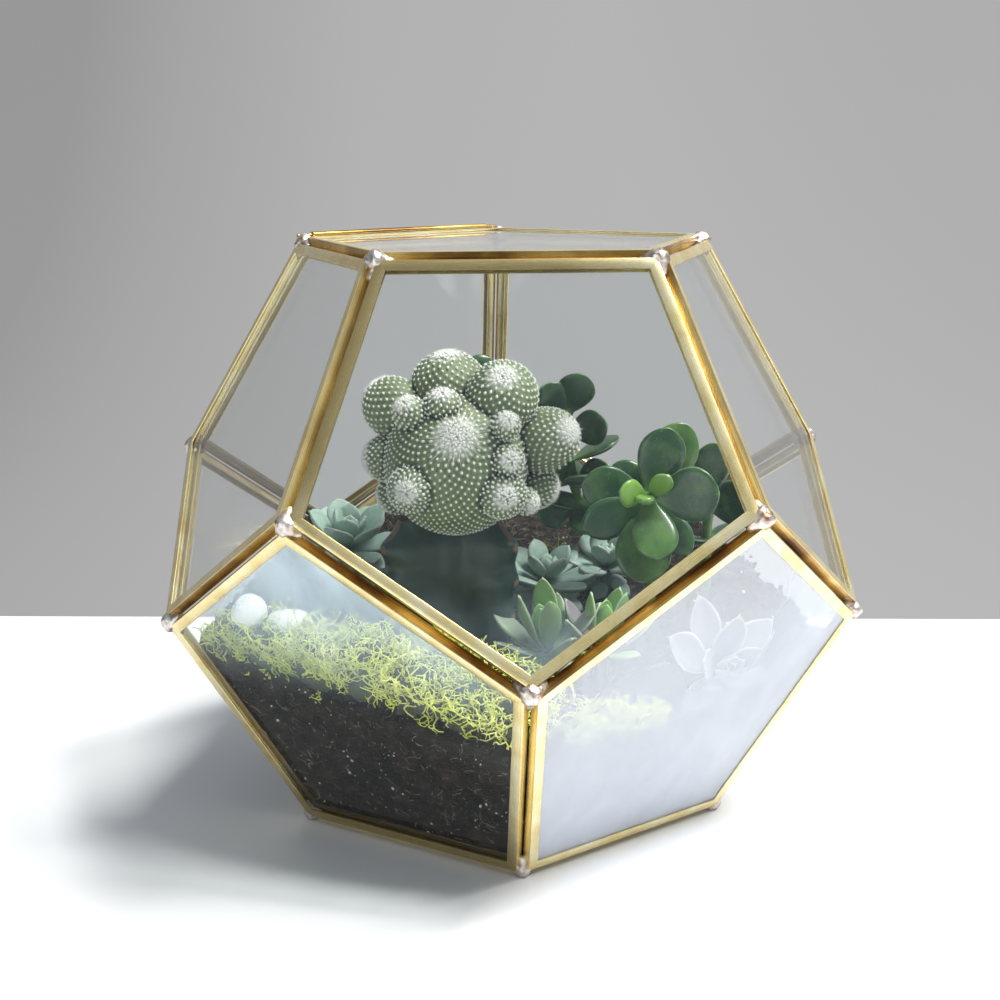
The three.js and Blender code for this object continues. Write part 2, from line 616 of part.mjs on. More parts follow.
const ROSETTES = {
  echeveria: {
    x: -53, y: 20, lift: 14, radius: 5, axis: v(0.1, -0.3, 0.9), seed: 21, look: PALE_BLUE,
    leaf: { thickness: 3.2, widest: 0.66, taper: 0.6, base: 0.4, curl: 0.4, cup: 0.25 },
    whorls: [
      { count: 6, length: 18, width: 11, rise: 8, height: -1 },
      { count: 5, length: 16, width: 10.5, rise: 34, height: 0.5 },
      { count: 4, length: 12, width: 8, rise: 60, height: 2 },
    ],
  },
  pale_rosette: {
    x: 12, y: 2, lift: 12, radius: 4.5, axis: v(0.1, -0.2, 1), seed: 22, look: PALE_BLUE,
    leaf: { thickness: 3.6, widest: 0.62, taper: 0.6, base: 0.4, curl: 0.3, cup: 0.15 },
    whorls: [
      { count: 6, length: 18, width: 10, rise: 14, height: 0 },
      { count: 4, length: 12, width: 8, rise: 52, height: 1.5 },
    ],
  },
  pink_rosette: {
    x: 60, y: -46, lift: 6.5, radius: 4.5, axis: v(0.35, -0.8, 0.35), seed: 23, look: LILAC,
    leaf: { thickness: 2.6, widest: 0.55, taper: 0.8, base: 0.4, curl: 0.45, cup: 0.3 },
    whorls: [
      { count: 6, length: 23, width: 11, rise: 8, height: -0.5 },
      { count: 5, length: 19, width: 10, rise: 34, height: 0.5 },
      { count: 3, length: 12, width: 6.5, rise: 64, height: 1.5 },
    ],
  },
};

// The two green pointed rosettes grow from one root and are one plant.
const POINTED_LEAF = { thickness: 2.6, widest: 0.42, taper: 0.85, base: 0.55, curl: 0.35, cup: 0.3 };
const POINTED = [
  {
    x: 10, y: -37, lift: 9, radius: 3.6, axis: v(-0.15, -0.25, 1), seed: 31, leaf: POINTED_LEAF,
    whorls: [
      { count: 5, length: 21, width: 7.6, rise: 22, height: 0 },
      { count: 3, length: 22, width: 7.4, rise: 60, height: 0.5 },
    ],
  },
  {
    x: 26, y: -35, lift: 9, radius: 3.6, axis: v(0.15, -0.2, 1), seed: 32, leaf: POINTED_LEAF,
    whorls: [
      { count: 5, length: 19, width: 7.2, rise: 26, height: 0 },
      { count: 3, length: 21, width: 7, rise: 62, height: 0.5 },
    ],
  },
];

function uprightPath(x, y, ...rest) {
  const ground = soilHeight(x, y);
  return [v(x, y, ground - ROOT_DEPTH - 1), v(x, y, ground + 6), ...rest];
}

const FRONT = v(0, -1, 0.1);
const JADES = {
  jade_front: {
    radius: 2.2, path: uprightPath(46, 2, v(46, 1, 84), v(44.5, -6, 97), v(43, -19, 103)),
    leaves: [
      { foot: v(43, -17, 103), way: v(6.3, 3, 21), face: FRONT, length: 22, width: 15 },
      { foot: v(44, -12, 101), way: v(12, 6, 23), face: FRONT, length: 26, width: 16 },
      { foot: v(44, -19, 103), way: v(20, -5, 2), face: FRONT, length: 21, width: 17.5 },
      { foot: v(43, -19, 102), way: v(1.5, -9, -18), face: FRONT, length: 20, width: 14.5 },
      { foot: v(43, -13, 99), way: v(-3, -7, -23), face: FRONT, length: 25, width: 18 },
      { foot: v(43.6, -15, 101), way: v(12, -4, -17), face: FRONT, length: 21, width: 11 },
      { foot: v(42, -18, 103), way: v(-10, -6, 3), face: FRONT, length: 12, width: 9 },
      { foot: v(43, -19, 103), way: v(-4, -9, -1), face: UP, length: 8, width: 6.5 },
      { foot: v(43, -19, 103), way: v(5, -6, 8), face: FRONT, length: 12, width: 7 },
      { foot: v(43, -11, 101), way: v(-19, 2, 4), face: FRONT, length: 21, width: 15 },
      { foot: v(44, -8, 98), way: v(-10, 5, 12), face: FRONT, length: 17, width: 12 },
      { foot: v(43, -14, 100), way: v(-20, 1, -8), face: FRONT, length: 22, width: 13 },
      ...leafPair(v(45.5, 0, 88), 1.4, 18, 13, 0.2),
    ],
  },
  jade_middle: {
    radius: 2, path: uprightPath(28, 28, v(27, 27, 85), v(22, 18, 104), v(20, 13, 126)),
    leaves: [
      { foot: v(20, 13, 124), way: v(-8, -3, 9), face: FRONT, length: 14, width: 11 },
      { foot: v(20, 13, 124), way: v(4, -2, 12), face: FRONT, length: 15, width: 12.5 },
      { foot: v(20.5, 14, 118), way: v(11, -6, 3), face: FRONT, length: 15, width: 12 },
      { foot: v(20.5, 14, 118), way: v(-10, -2, -1), face: FRONT, length: 14, width: 11 },
      ...leafPair(v(21.5, 16, 108), 0.2, 18, 14, 0.3),
      ...leafPair(v(23, 20, 99), 1.8, 16, 13, 0.25),
      ...leafPair(v(26, 25, 89), 0.3, 19, 14, 0.2),
    ],
  },
  jade_back: {
    radius: 1.9, path: uprightPath(-8, 30, v(-9, 30, 96), v(-12, 24, 118), v(-13, 18, 134)),
    leaves: [
      { foot: v(-13, 18, 133), way: v(-6, -5, 12), face: FRONT, length: 14.5, width: 11 },
      { foot: v(-13, 19, 132), way: v(7, 4, 8), face: FRONT, length: 13, width: 10 },
      ...leafPair(v(-12.5, 22, 124), 1.2, 15, 12, 0.4),
    ],
  },
  jade_right: {
    radius: 2, path: uprightPath(66, 10, v(66, 9, 88), v(66, 7, 98)),
    leaves: [
      { foot: v(66, 7, 97), way: v(1, -1, 18), face: FRONT, length: 19, width: 13 },
      { foot: v(66, 8, 93), way: v(12, -8, 4), face: FRONT, length: 17, width: 16 },
      { foot: v(66, 8, 94), way: v(-13, 2, 6), face: FRONT, length: 15, width: 12 },
      { foot: v(66, 8, 90), way: v(1, 14, 5), face: UP, length: 17, width: 13 },
      ...leafPair(v(66, 9, 82), 0.5, 15, 11, 0.1),
    ],
  },
};

function addGarden() {
  const stones = Object.values(PEBBLES).map((pebble) => pebbleSolid(pebble, CLEARANCE));
  const holes = [stockSolid(STOCK_GROWTH), ...stones];
  for (const { x, y, radius } of [...Object.values(ROSETTES), ...POINTED]) {
    holes.push(standingHole(x, y, radius * ROOT_SHARE + 2 * CLEARANCE, ROOT_DEPTH + CLEARANCE));
  }
  for (const { path, radius } of Object.values(JADES)) {
    holes.push(standingHole(path[0].x, path[0].y, radius + 3 * CLEARANCE, ROOT_DEPTH + 1 + CLEARANCE));
  }
  addPiece('soil', toGeometry(cut(INSIDE.intersect(soilBlock(0)), holes)), PEAT);

  const scion = largestPiece(join(HEADS.map((head) => headSolid(head))));
  const seat = HEADS.map((head) => headSolid(head, CLEARANCE));
  addPiece('cactus_stock', toGeometry(largestPiece(cut(stockSolid(0), seat))), STOCK_GREEN);
  addPiece('cactus_scion', toGeometry(scion), SCION_GREEN);

  const moss = mossSolid(MOSS_CUSHIONS, 8, 5).intersect(INSIDE);
  const clearMoss = cut(moss, [SOIL_ROOM, ...stones, stockSolid(STOCK_GROWTH)]);
  addPiece('moss', toGeometry(largestPiece(clearMoss)), MOSS);

  for (const [name, { path, radius, leaves }] of Object.entries(JADES)) {
    addPiece(name, toGeometry(jadeStem(path, radius, leaves)), JADE);
  }
  for (const [name, plan] of Object.entries(ROSETTES)) {
    addPiece(name, toGeometry(rosette(plan)), plan.look);
  }
  const pointed = join(POINTED.map((plan) => rosette(plan)));
  const clearPointed = cut(pointed, [stockSolid(STOCK_GROWTH), stones[2]]);
  addPiece('pointed_rosettes', toGeometry(largestPiece(clearPointed)), LEAF_GREEN);
  for (const [name, pebble] of Object.entries(PEBBLES)) {
    addPiece(name, toGeometry(pebbleSolid(pebble)), pebble.look);
  }
}

addHolder();
addGarden();

// The origin is the middle of the base of the bounding box.
const bounds = new THREE.Box3().setFromObject(terrarium, true);
const middle = bounds.getCenter(new THREE.Vector3());
terrarium.position.set(-middle.x, -middle.y, -bounds.min.z);

export default terrarium;
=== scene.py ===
from collections import namedtuple
from math import acos, atan, cos, dist, exp, log, pi, radians, sin, sqrt, tan

import bmesh
import bpy
import numpy as np
from mathutils import Matrix, Vector, kdtree, noise


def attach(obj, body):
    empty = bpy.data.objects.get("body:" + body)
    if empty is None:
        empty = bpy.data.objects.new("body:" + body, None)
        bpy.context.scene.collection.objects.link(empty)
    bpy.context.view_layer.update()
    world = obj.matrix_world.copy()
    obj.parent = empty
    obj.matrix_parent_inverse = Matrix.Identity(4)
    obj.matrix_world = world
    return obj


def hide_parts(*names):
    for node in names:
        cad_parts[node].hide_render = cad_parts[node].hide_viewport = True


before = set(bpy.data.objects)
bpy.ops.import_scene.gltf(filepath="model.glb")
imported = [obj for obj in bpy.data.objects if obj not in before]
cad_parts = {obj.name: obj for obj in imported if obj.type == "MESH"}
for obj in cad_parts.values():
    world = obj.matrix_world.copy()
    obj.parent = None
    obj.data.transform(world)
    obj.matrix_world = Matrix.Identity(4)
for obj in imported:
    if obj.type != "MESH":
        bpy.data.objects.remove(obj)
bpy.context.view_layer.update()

# Looks of a planted glass terrarium around its CAD model. Shapes are worked out in millimetres, in
# the frame of the dodecahedron, and turned into metres in the row frame when a piece is made.
MM = 0.001
SHIFT = np.array([0.0067, -0.1405, 0.0])  # from the dodecahedron's axis to the row frame, in mm
HOLDER = "planted_holder"
DOOR_BODY = "door"

# ---- driving dimensions, as in the CAD
EDGE = 80.0
CAME = 3.2
CAME_WALL = 0.5
CAME_GAP = 0.4
SOLDER_RADIUS = 4.2
DOOR_GAP = 0.25  # between the solder and the door's frame
HINGE_STAND_OFF = 0.3
TUBE_RADIUS = 1.1
TUBE_BORE = 0.8
TUBE_LENGTH = 71.0
WIRE_RADIUS = 0.55
WIRE_LENGTH = 82.0

GOLDEN = (1 + sqrt(5)) / 2
FIFTH = 2 * pi / 5
GOLDEN_ANGLE = pi * (3 - sqrt(5))
INRADIUS = EDGE / 2 * sqrt(2.5 + 1.1 * sqrt(5))
SMALL_RING = EDGE / (2 * sin(pi / 5))
LARGE_RING = SMALL_RING * GOLDEN
RING_DROP = sqrt(EDGE**2 - (LARGE_RING - SMALL_RING) ** 2)
HALF_DIHEDRAL = atan(GOLDEN)
CAME_INSET = CAME / 2 / tan(HALF_DIHEDRAL) + CAME_GAP / 2 / sin(HALF_DIHEDRAL)
CAME_APOTHEM = EDGE / (2 * tan(pi / 5)) - CAME_INSET
HINGE_RISE = CAME / 2 + HINGE_STAND_OFF
CENTRE = np.array([0, 0, INRADIUS + CAME / 2])
UP = np.array([0.0, 0.0, 1.0])
RINGS = {  # radius, height, and the turn of its first corner
    "roof": (SMALL_RING, CENTRE[2] + INRADIUS, -126),
    "upper": (LARGE_RING, CENTRE[2] + INRADIUS - RING_DROP, -126),
    "lower": (LARGE_RING, CENTRE[2] - INRADIUS + RING_DROP, -90),
    "base": (SMALL_RING, CENTRE[2] - INRADIUS, -90),
}


def vec(*xyz):
    return np.array(xyz, float)


def unit(vector):
    return vector / np.linalg.norm(vector)


def lengths(vectors):
    return np.linalg.norm(vectors, axis=1)


def seeded_random(seed):
    """The same draws as the CAD source makes, so that leaves lie where its leaves do."""
    mask = 0xFFFFFFFF
    state = seed

    def draw():
        nonlocal state
        state = (state + 0x6D2B79F5) & mask
        mixed = ((state ^ (state >> 15)) * (1 | state)) & mask
        mixed = ((mixed + (mixed ^ (mixed >> 7)) * (61 | mixed)) & mask) ^ mixed
        return (mixed ^ (mixed >> 14)) / 4294967296

    return draw


def turn_from_up(axis):
    """Rotation matrix that takes +Z to an axis by the shortest way."""
    return np.array(Vector((0, 0, 1)).rotation_difference(Vector(unit(axis))).to_matrix())


# ---- faces of the dodecahedron
def corner(ring, number):
    radius, z, turn = RINGS[ring]
    angle = radians(turn) + FIFTH * number
    return vec(radius * cos(angle), radius * sin(angle), z)


FACE_CORNERS = {
    "roof": [("roof", k) for k in range(5)],
    "base": [("base", k) for k in range(5)],
    "upper": [("roof", 0), ("roof", 1), ("upper", 1), ("lower", 0), ("upper", 0)],
    "lower": [("upper", 0), ("lower", -1), ("base", -1), ("base", 0), ("lower", 0)],
}


class Face:
    """One pentagon: its middle, its outward normal, and unit vectors in its plane to each side."""

    def __init__(self, name, kind, i=0):
        self.name = name
        self.corners = [corner(ring, i + step) for ring, step in FACE_CORNERS[kind]]
        self.middle = sum(self.corners) / 5
        self.outward = unit(self.middle - CENTRE)
        ways = [unit(point - self.middle) for point in self.corners]
        self.sides = [unit(ways[k] + ways[(k + 1) % 5]) for k in range(5)]


UPPER = ("upper_front", "upper_right", "upper_back_right", "door", "upper_left")
LOWER = ("lower_front_left", "lower_front_right", "lower_right", "lower_back", "lower_left")
FACES = [Face("roof", "roof"), Face("base", "base")]
FACES += [Face(name, "upper", i) for i, name in enumerate(UPPER)]
FACES += [Face(name, "lower", i) for i, name in enumerate(LOWER)]
DOOR = next(face for face in FACES if face.name == "door")


def keep_inside(points, margin):
    """Moves points inwards until they are that far behind the inner flanges of every frame."""
    points = np.array(points, float)
    for _ in range(3):
        for face in FACES:
            reach = (points - CENTRE) @ face.outward - (INRADIUS - CAME / 2 - margin)
            points -= np.outer(np.maximum(reach, 0), face.outward)
    return points


# ---- skins: points, faces and values
class Skin:
    """Points in mm, faces and per-point values, gathered part by part into one piece."""

    def __init__(self, *names):
        self.points = []
        self.faces = []
        self.count = 0
        self.values = {name: [] for name in names}

    def add(self, points, faces, **values):
        points = np.asarray(points, float).reshape(-1, 3)
        self.faces += [np.asarray(face_set, np.int64) + self.count for face_set in faces]
        for name, store in self.values.items():
            store.append(np.broadcast_to(np.asarray(values.get(name, 0), float), len(points)))
        self.points.append(points)
        self.count += len(points)

    def mesh(self, name):
        mesh = bpy.data.meshes.new(name)
        faces = [corners for face_set in self.faces for corners in face_set.tolist()]
        mesh.from_pydata((np.concatenate(self.points) + SHIFT) * MM, [], faces, shade_flat=False)
        for key, store in self.values.items():
            attribute = mesh.attributes.new(key, "FLOAT", "POINT")
            attribute.data.foreach_set("value", np.concatenate(store).astype(np.float32))
        mesh.validate()
        return mesh


def add_object(name, data):
    made = bpy.data.objects.new(name, data)
    bpy.context.scene.collection.objects.link(made)
    return made


def make_piece(name, skin, look, replaced=None, sharp=None, body=HOLDER):
    """A piece look_NAME, which replaces the CAD node NAME if there is one, or else the node given."""
    mesh = skin.mesh("look_" + name) if isinstance(skin, Skin) else skin
    if sharp is not None:
        mesh.set_sharp_from_angle(angle=radians(sharp))
    mesh.materials.clear()
    mesh.materials.append(look)
    piece = add_object("look_" + name, mesh)
    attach(piece, body)
    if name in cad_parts:
        replaced = name
    if replaced:
        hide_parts(replaced)


def loft_faces(count, around):
    """Quads between rings of points, each ring counter-clockwise about the way along them."""
    i, j = np.meshgrid(np.arange(count - 1), np.arange(around), indexing="ij")
    near = i.ravel() * around
    j = j.ravel()
    follow = (j + 1) % around
    return np.stack([near + j, near + follow, near + around + follow, near + around + j], 1)


def capped_loft(rings, start, end):
    """A closed skin through rings (n, around, 3) with a point at each end."""
    count, around = rings.shape[:2]
    points = np.concatenate([rings.reshape(-1, 3), [start, end]])
    j = np.arange(around)
    follow = (j + 1) % around
    foot = np.stack([np.full(around, count * around), follow, j], 1)
    last = (count - 1) * around
    tip = np.stack([np.full(around, count * around + 1), last + j, last + follow], 1)
    return points, [loft_faces(count, around), np.concatenate([foot, tip])]


def circle(around, side, other):
    """Points of a unit circle in the plane of two vectors."""
    angles = 2 * pi * np.arange(around) / around
    return np.outer(np.cos(angles), side) + np.outer(np.sin(angles), other)


def tube(path, radii, around):
    """A closed tube along a path of points, with a radius at each or one for all."""
    path = np.asarray(path, float)
    radii = np.broadcast_to(radii, len(path))
    ways = np.gradient(path, axis=0)
    ways /= lengths(ways)[:, None]
    side = np.cross(ways[0], UP if abs(ways[0][2]) < 0.9 else vec(1, 0, 0))
    rings = []
    for point, way, radius in zip(path, ways, radii):
        side = unit(side - way * (side @ way))
        rings.append(point + radius * circle(around, side, np.cross(way, side)))
    caps = ways[[0, -1]] * radii[[0, -1], None] * 0.3
    return capped_loft(np.array(rings), path[0] - caps[0], path[-1] + caps[1])


def smooth_path(points, count):
    """A Catmull-Rom curve through points, as count points."""
    points = np.asarray(points, float)
    padded = np.concatenate([[2 * points[0] - points[1]], points, [2 * points[-1] - points[-2]]])
    out = []
    for t in np.linspace(0, len(points) - 1 - 1e-9, count):
        u = t % 1
        a, b, c, d = padded[int(t) : int(t) + 4]
        out.append(0.5 * (2 * b + (c - a) * u + (2 * a - 5 * b + 4 * c - d) * u**2
                          + (3 * b - a - 3 * c + d) * u**3))
    return np.array(out)


BALLS = {}


def ball(subdivisions):
    """Unit vectors and triangles of an icosphere."""
    if subdivisions not in BALLS:
        shape = bmesh.new()
        bmesh.ops.create_icosphere(shape, subdivisions=subdivisions, radius=1)
        points = np.array([v.co for v in shape.verts])
        BALLS[subdivisions] = (points, np.array([[v.index for v in f.verts] for f in shape.faces]))
        shape.free()
    return BALLS[subdivisions]


def rough(points, scale, amount, seed=0.0):
    """Fractal noise at each point: scale is the size of its largest bumps, in mm."""
    return np.array([amount * noise.fractal(Vector(p / scale) + Vector((seed, 0, 0)), 0.9, 2.0, 4)
                     for p in np.asarray(points)])


# ---- looks
class Look:
    """The node tree of a material, or of the world, with short calls for the nodes that the looks
    share. A material's colour is started once and then painted over."""

    def __init__(self, name, kind="Material"):
        self.made = {"Material": bpy.data.materials, "World": bpy.data.worlds}[kind].new(name)
        self.made.use_nodes = True
        self.tree = self.made.node_tree
        self.tree.nodes.clear()
        self.out = self.node("Output" + kind)
        self.where = self.node("TexCoord").outputs["Object"]

    def node(self, kind, **inputs):
        return self.feed(self.tree.nodes.new("ShaderNode" + kind), **inputs)

    def feed(self, node, **inputs):
        """Links or sets inputs by name, or by number as _0. A node stands for its first output."""
        for key, value in inputs.items():
            socket = node.inputs[int(key[1:]) if key[0] == "_" else key.replace("_", " ")]
            if isinstance(value, bpy.types.Node):
                value = value.outputs[0]
            if isinstance(value, bpy.types.NodeSocket):
                self.tree.links.new(value, socket)
            else:
                socket.default_value = value
        return node

    def finish(self, shader):
        self.feed(self.out, Surface=shader)
        return self.made

    def skin(self, roughness, bump=None, **inputs):
        """The finished material. Its bump is a socket and the full height of it, in mm."""
        if bump:
            height, distance = bump
            inputs["Normal"] = self.node("Bump", Height=height, Distance=distance * MM)
        return self.finish(self.node("BsdfPrincipled", Base_Color=self.colour, Roughness=roughness,
                                     **inputs))

    def noise(self, size, detail=4, roughness=0.6, stretch=None, distortion=0):
        """Noise whose largest spots are about that size in mm."""
        place = self.node("Mapping", Vector=self.where, Scale=stretch) if stretch else self.where
        return self.node("TexNoise", Vector=place, Scale=1000 / size, Detail=detail,
                         Roughness=roughness, Distortion=distortion).outputs["Fac"]

    def cells(self, size):
        return self.node("TexVoronoi", Vector=self.where, Scale=1000 / size).outputs["Distance"]

    def axis(self, name):
        return self.node("SeparateXYZ", Vector=self.where).outputs[name]

    def value(self, name):
        node = self.node("Attribute")
        node.attribute_name = name
        return node.outputs["Fac"]

    def math(self, operation, first, second=0, third=0):
        node = self.node("Math", _0=first, _1=second, _2=third)
        node.operation = operation
        return node.outputs[0]

    def ramp(self, fac, *stops):
        """Colours or grey levels at places from 0 to 1."""
        node = self.node("ValToRGB", Fac=fac)
        ramp = node.color_ramp
        ramp.elements.remove(ramp.elements[-1])
        for k, (place, colour) in enumerate(stops):
            stop = ramp.elements[0] if k == 0 else ramp.elements.new(place)
            stop.position = place
            stop.color = (*(colour if isinstance(colour, tuple) else (colour,) * 3), 1)
        return node.outputs["Color"]

    def mix(self, fac, first, second):
        node = self.node("Mix")
        node.data_type = "RGBA"
        first, second = ((*c, 1) if isinstance(c, tuple) else c for c in (first, second))
        return self.feed(node, _0=fac, _6=first, _7=second).outputs[2]

    def start(self, fac, *stops):
        self.colour = self.ramp(fac, *stops)

    def paint(self, fac, low, high, colour):
        """Paints over where a value goes from low to high, each a value and the paint's share."""
        self.colour = self.mix(self.ramp(fac, low, high), self.colour, colour)


def came_look():
    """Brushed brass: pale flanges with fine lines along each bar, darkened by height on two faces as
    painted shade, and golden webs in the grooves between the frames, painted darker than the flanges
    as shade in the grooves in brown patches that are partly tarnish, and painted bright gold low down
    and on the upper faces as a painted reflection."""
    look = Look("came_brass")
    across = look.value("across")
    grain = look.node("CombineXYZ", X=look.math("MULTIPLY", look.value("along"), 0.025),
                      Y=look.math("MULTIPLY", across, 5), Z=look.value("bar"))
    streaks = look.node("TexNoise", Vector=grain, Scale=1.6, Detail=5, Roughness=0.7).outputs["Fac"]
    look.start(look.noise(11, 5, 0.62), (0.32, (0.76, 0.58, 0.25)), (0.48, (0.88, 0.74, 0.38)),
               (0.66, (0.94, 0.85, 0.56)))
    look.paint(streaks, (0.45, 0), (0.7, 0.3), (0.55, 0.4, 0.15))
    look.paint(look.noise(1.4, 4, 0.7), (0.66, 0), (0.76, 0.7), (0.22, 0.14, 0.06))
    # Painted shade: the flanges darken to olive brown by height on the upper front and lower front left
    # faces.
    flange = look.mix(look.value("dull"), look.colour, (0.34, 0.26, 0.11))
    # Painted shade and reflection: the webs in the grooves are painted darker than the flanges, in brown
    # patches that are partly tarnish, and bright gold is painted over them below about 55 mm and, more
    # weakly, on the upper faces.
    tarnish_and_shade = look.ramp(look.noise(26, 4, 0.55), (0.36, (0.2, 0.1, 0.025)), (0.5, (0.44, 0.27, 0.065)),
                      (0.64, (0.74, 0.53, 0.18)))
    painted_reflection_band = look.ramp(look.math("DIVIDE", look.axis("Z"), 200 * MM), (0.275, 0.8), (0.375, 0),
                      (0.56, 0), (0.6, 0.4), (0.82, 0.4), (0.88, 0))
    web = look.mix(painted_reflection_band, tarnish_and_shade, (0.97, 0.82, 0.4))
    is_web = look.ramp(look.math("DIVIDE", across, 10), (0.3, 1), (0.325, 0))
    look.colour = look.mix(is_web, flange, web)
    return look.skin(look.ramp(streaks, (0.3, 0.18), (0.7, 0.34)), (streaks, 0.012), Metallic=0.8)


def solder_look():
    look = Look("solder")
    pits = look.noise(1.1, 4, 0.7)
    look.start(look.noise(3.2, 4, 0.6), (0.36, (0.34, 0.2, 0.12)), (0.46, (0.6, 0.52, 0.45)),
               (0.6, (0.74, 0.7, 0.66)), (0.75, (0.5, 0.41, 0.34)))
    look.paint(pits, (0.6, 0), (0.72, 0.6), (0.12, 0.075, 0.045))
    return look.skin(look.ramp(pits, (0.4, 0.3), (0.75, 0.6)), (pits, 0.06), Metallic=0.95)


def glass_look(name, mirror, dust_and_reflection, haze_spread, painted_reflections=(), thin=0.6, tint=(0.85, 0.9, 1)):
    """Clear sheet glass. mirror is what it reflects square on; the next two are the share of its pale
    diffuse veil at its thickest and the size of the veil's patches in mm. The veil is fine dust, and
    where it is thick it is a painted reflection of the bright table. Each entry in the next argument is
    a haze that thickens along an axis from one place to another, in mm, up to a share, and is a painted
    reflection; thin is what its clouds leave of it."""
    look = Look(name)
    facing = look.node("LayerWeight", Blend=0.5).outputs["Facing"]
    share = look.math("MULTIPLY_ADD", look.math("POWER", facing, 5), 1 - mirror, mirror)
    clear = look.node("BsdfTransparent", Color=(0.982, 0.99, 0.988, 1))
    gloss = look.node("BsdfGlossy", Color=(1, 1, 1, 1), Roughness=0.03)
    bare = look.node("MixShader", _0=share, _1=clear, _2=gloss)
    veil_share = look.ramp(look.noise(haze_spread, 3, 0.55), (0.35, 0.6 * dust_and_reflection), (0.65, dust_and_reflection))
    # Painted reflection: each haze is pale diffuse paint that thickens where the glass would mirror the
    # bright table.
    for axis, low, high, thickest in painted_reflections:
        climb = look.node("MapRange", Value=look.axis(axis), From_Min=low * MM, From_Max=high * MM,
                          To_Max=thickest)
        climb.interpolation_type = "SMOOTHSTEP"
        cloud = look.ramp(look.noise(22, 3, 0.5, stretch=(1, 1, 0.5)), (0.38, thin), (0.62, 1))
        veil_share = look.math("MULTIPLY_ADD", climb, cloud, veil_share)
    specks = look.ramp(look.cells(3.1), (0.028, 0.35), (0.05, 0))
    veil_share = look.math("MAXIMUM", veil_share, look.math("MULTIPLY", specks, look.noise(30, 2)))
    veil = look.node("BsdfDiffuse", Color=(*tint, 1))
    return look.finish(look.node("MixShader", _0=veil_share, _1=bare, _2=veil))


def soil_look():
    look = Look("soil")
    grit = look.noise(0.9, 5, 0.8)
    shred = look.noise(2.2, 4, 0.7, stretch=(1, 0.25, 2.2), distortion=1.2)
    look.start(look.noise(7, 6, 0.7), (0.34, (0.004, 0.003, 0.002)), (0.52, (0.019, 0.014, 0.011)),
               (0.7, (0.065, 0.048, 0.038)))
    look.paint(shred, (0.55, 0), (0.62, 0.7), (0.11, 0.078, 0.055))
    look.paint(grit, (0.6, 0), (0.66, 0.5), (0.24, 0.2, 0.16))
    return look.skin(0.95, (look.mix(0.5, grit, shred), 1.6), Specular_IOR_Level=0.15)


def matte_look(name, low, high, size, roughness=0.8, bump=0.1):
    """A dull surface whose colour wanders between two."""
    look = Look(name)
    fine = look.noise(size / 6, 3, 0.7)
    look.start(look.mix(0.35, look.noise(size, 4, 0.65), fine), (0.35, low), (0.65, high))
    return look.skin(roughness, (fine, bump))


def scion_look():
    """Olive grey-green skin: paler on each tubercle, with painted shade in the furrows between them and in
    the creases where heads meet.
    """
    look = Look("scion_skin")
    knob = look.value("knob")
    fine = look.noise(0.25, 2, 0.6)
    look.start(look.noise(9, 4, 0.6), (0.3, (0.1, 0.14, 0.058)), (0.7, (0.2, 0.25, 0.13)))
    # Painted shade: the furrows between the tubercles are darkened almost to black green.
    look.paint(knob, (0, 0.85), (0.55, 0), (0.018, 0.03, 0.008))
    look.paint(knob, (0.7, 0), (1, 0.5), (0.36, 0.42, 0.26))
    look.paint(look.value("crown"), (0.02, 0), (0.5, 0.95), (0.72, 0.74, 0.66))
    # Painted shade: the skin darkens where it runs close to another head.
    look.paint(look.value("crease"), (0.1, 0), (0.9, 0.85), (0.016, 0.02, 0.007))
    look.paint(fine, (0.6, 0), (0.75, 0.2), (0.45, 0.5, 0.36))
    return look.skin(0.62, (fine, 0.05), Subsurface_Weight=0.08, Subsurface_Radius=(0.8, 1, 0.4),
                     Subsurface_Scale=0.001)


def wool_look():
    look = Look("wool")
    look.start(look.value("tone"), (0.5, (0.6, 0.61, 0.54)), (1, (0.86, 0.87, 0.83)))
    look.paint(look.noise(14, 3, 0.6), (0.66, 0), (0.74, 0.55), (0.36, 0.24, 0.14))
    return look.skin(0.75, (look.noise(0.3, 2, 0.6), 0.03), Specular_IOR_Level=0.2)


def stock_look():
    """Waxy blue-green skin with a faint bloom, brown cork along the ribs and round the top."""
    look = Look("stock_skin")
    fine = look.noise(0.7, 4, 0.7)
    look.start(look.noise(12, 5, 0.6), (0.3, (0.007, 0.023, 0.017)), (0.7, (0.017, 0.046, 0.036)))
    look.paint(look.cells(2.4), (0.05, 0.3), (0.1, 0), (0.12, 0.18, 0.14))
    edge = look.math("MULTIPLY_ADD", look.math("SUBTRACT", fine, 0.5), 0.9, look.value("cork"))
    bark = look.ramp(fine, (0.3, (0.075, 0.04, 0.022)), (0.7, (0.24, 0.15, 0.095)))
    look.paint(edge, (0.42, 0), (0.56, 1), bark)
    return look.skin(look.ramp(edge, (0.4, 0.36), (0.6, 0.85)), (look.noise(9, 1, 0.5), 0.2))


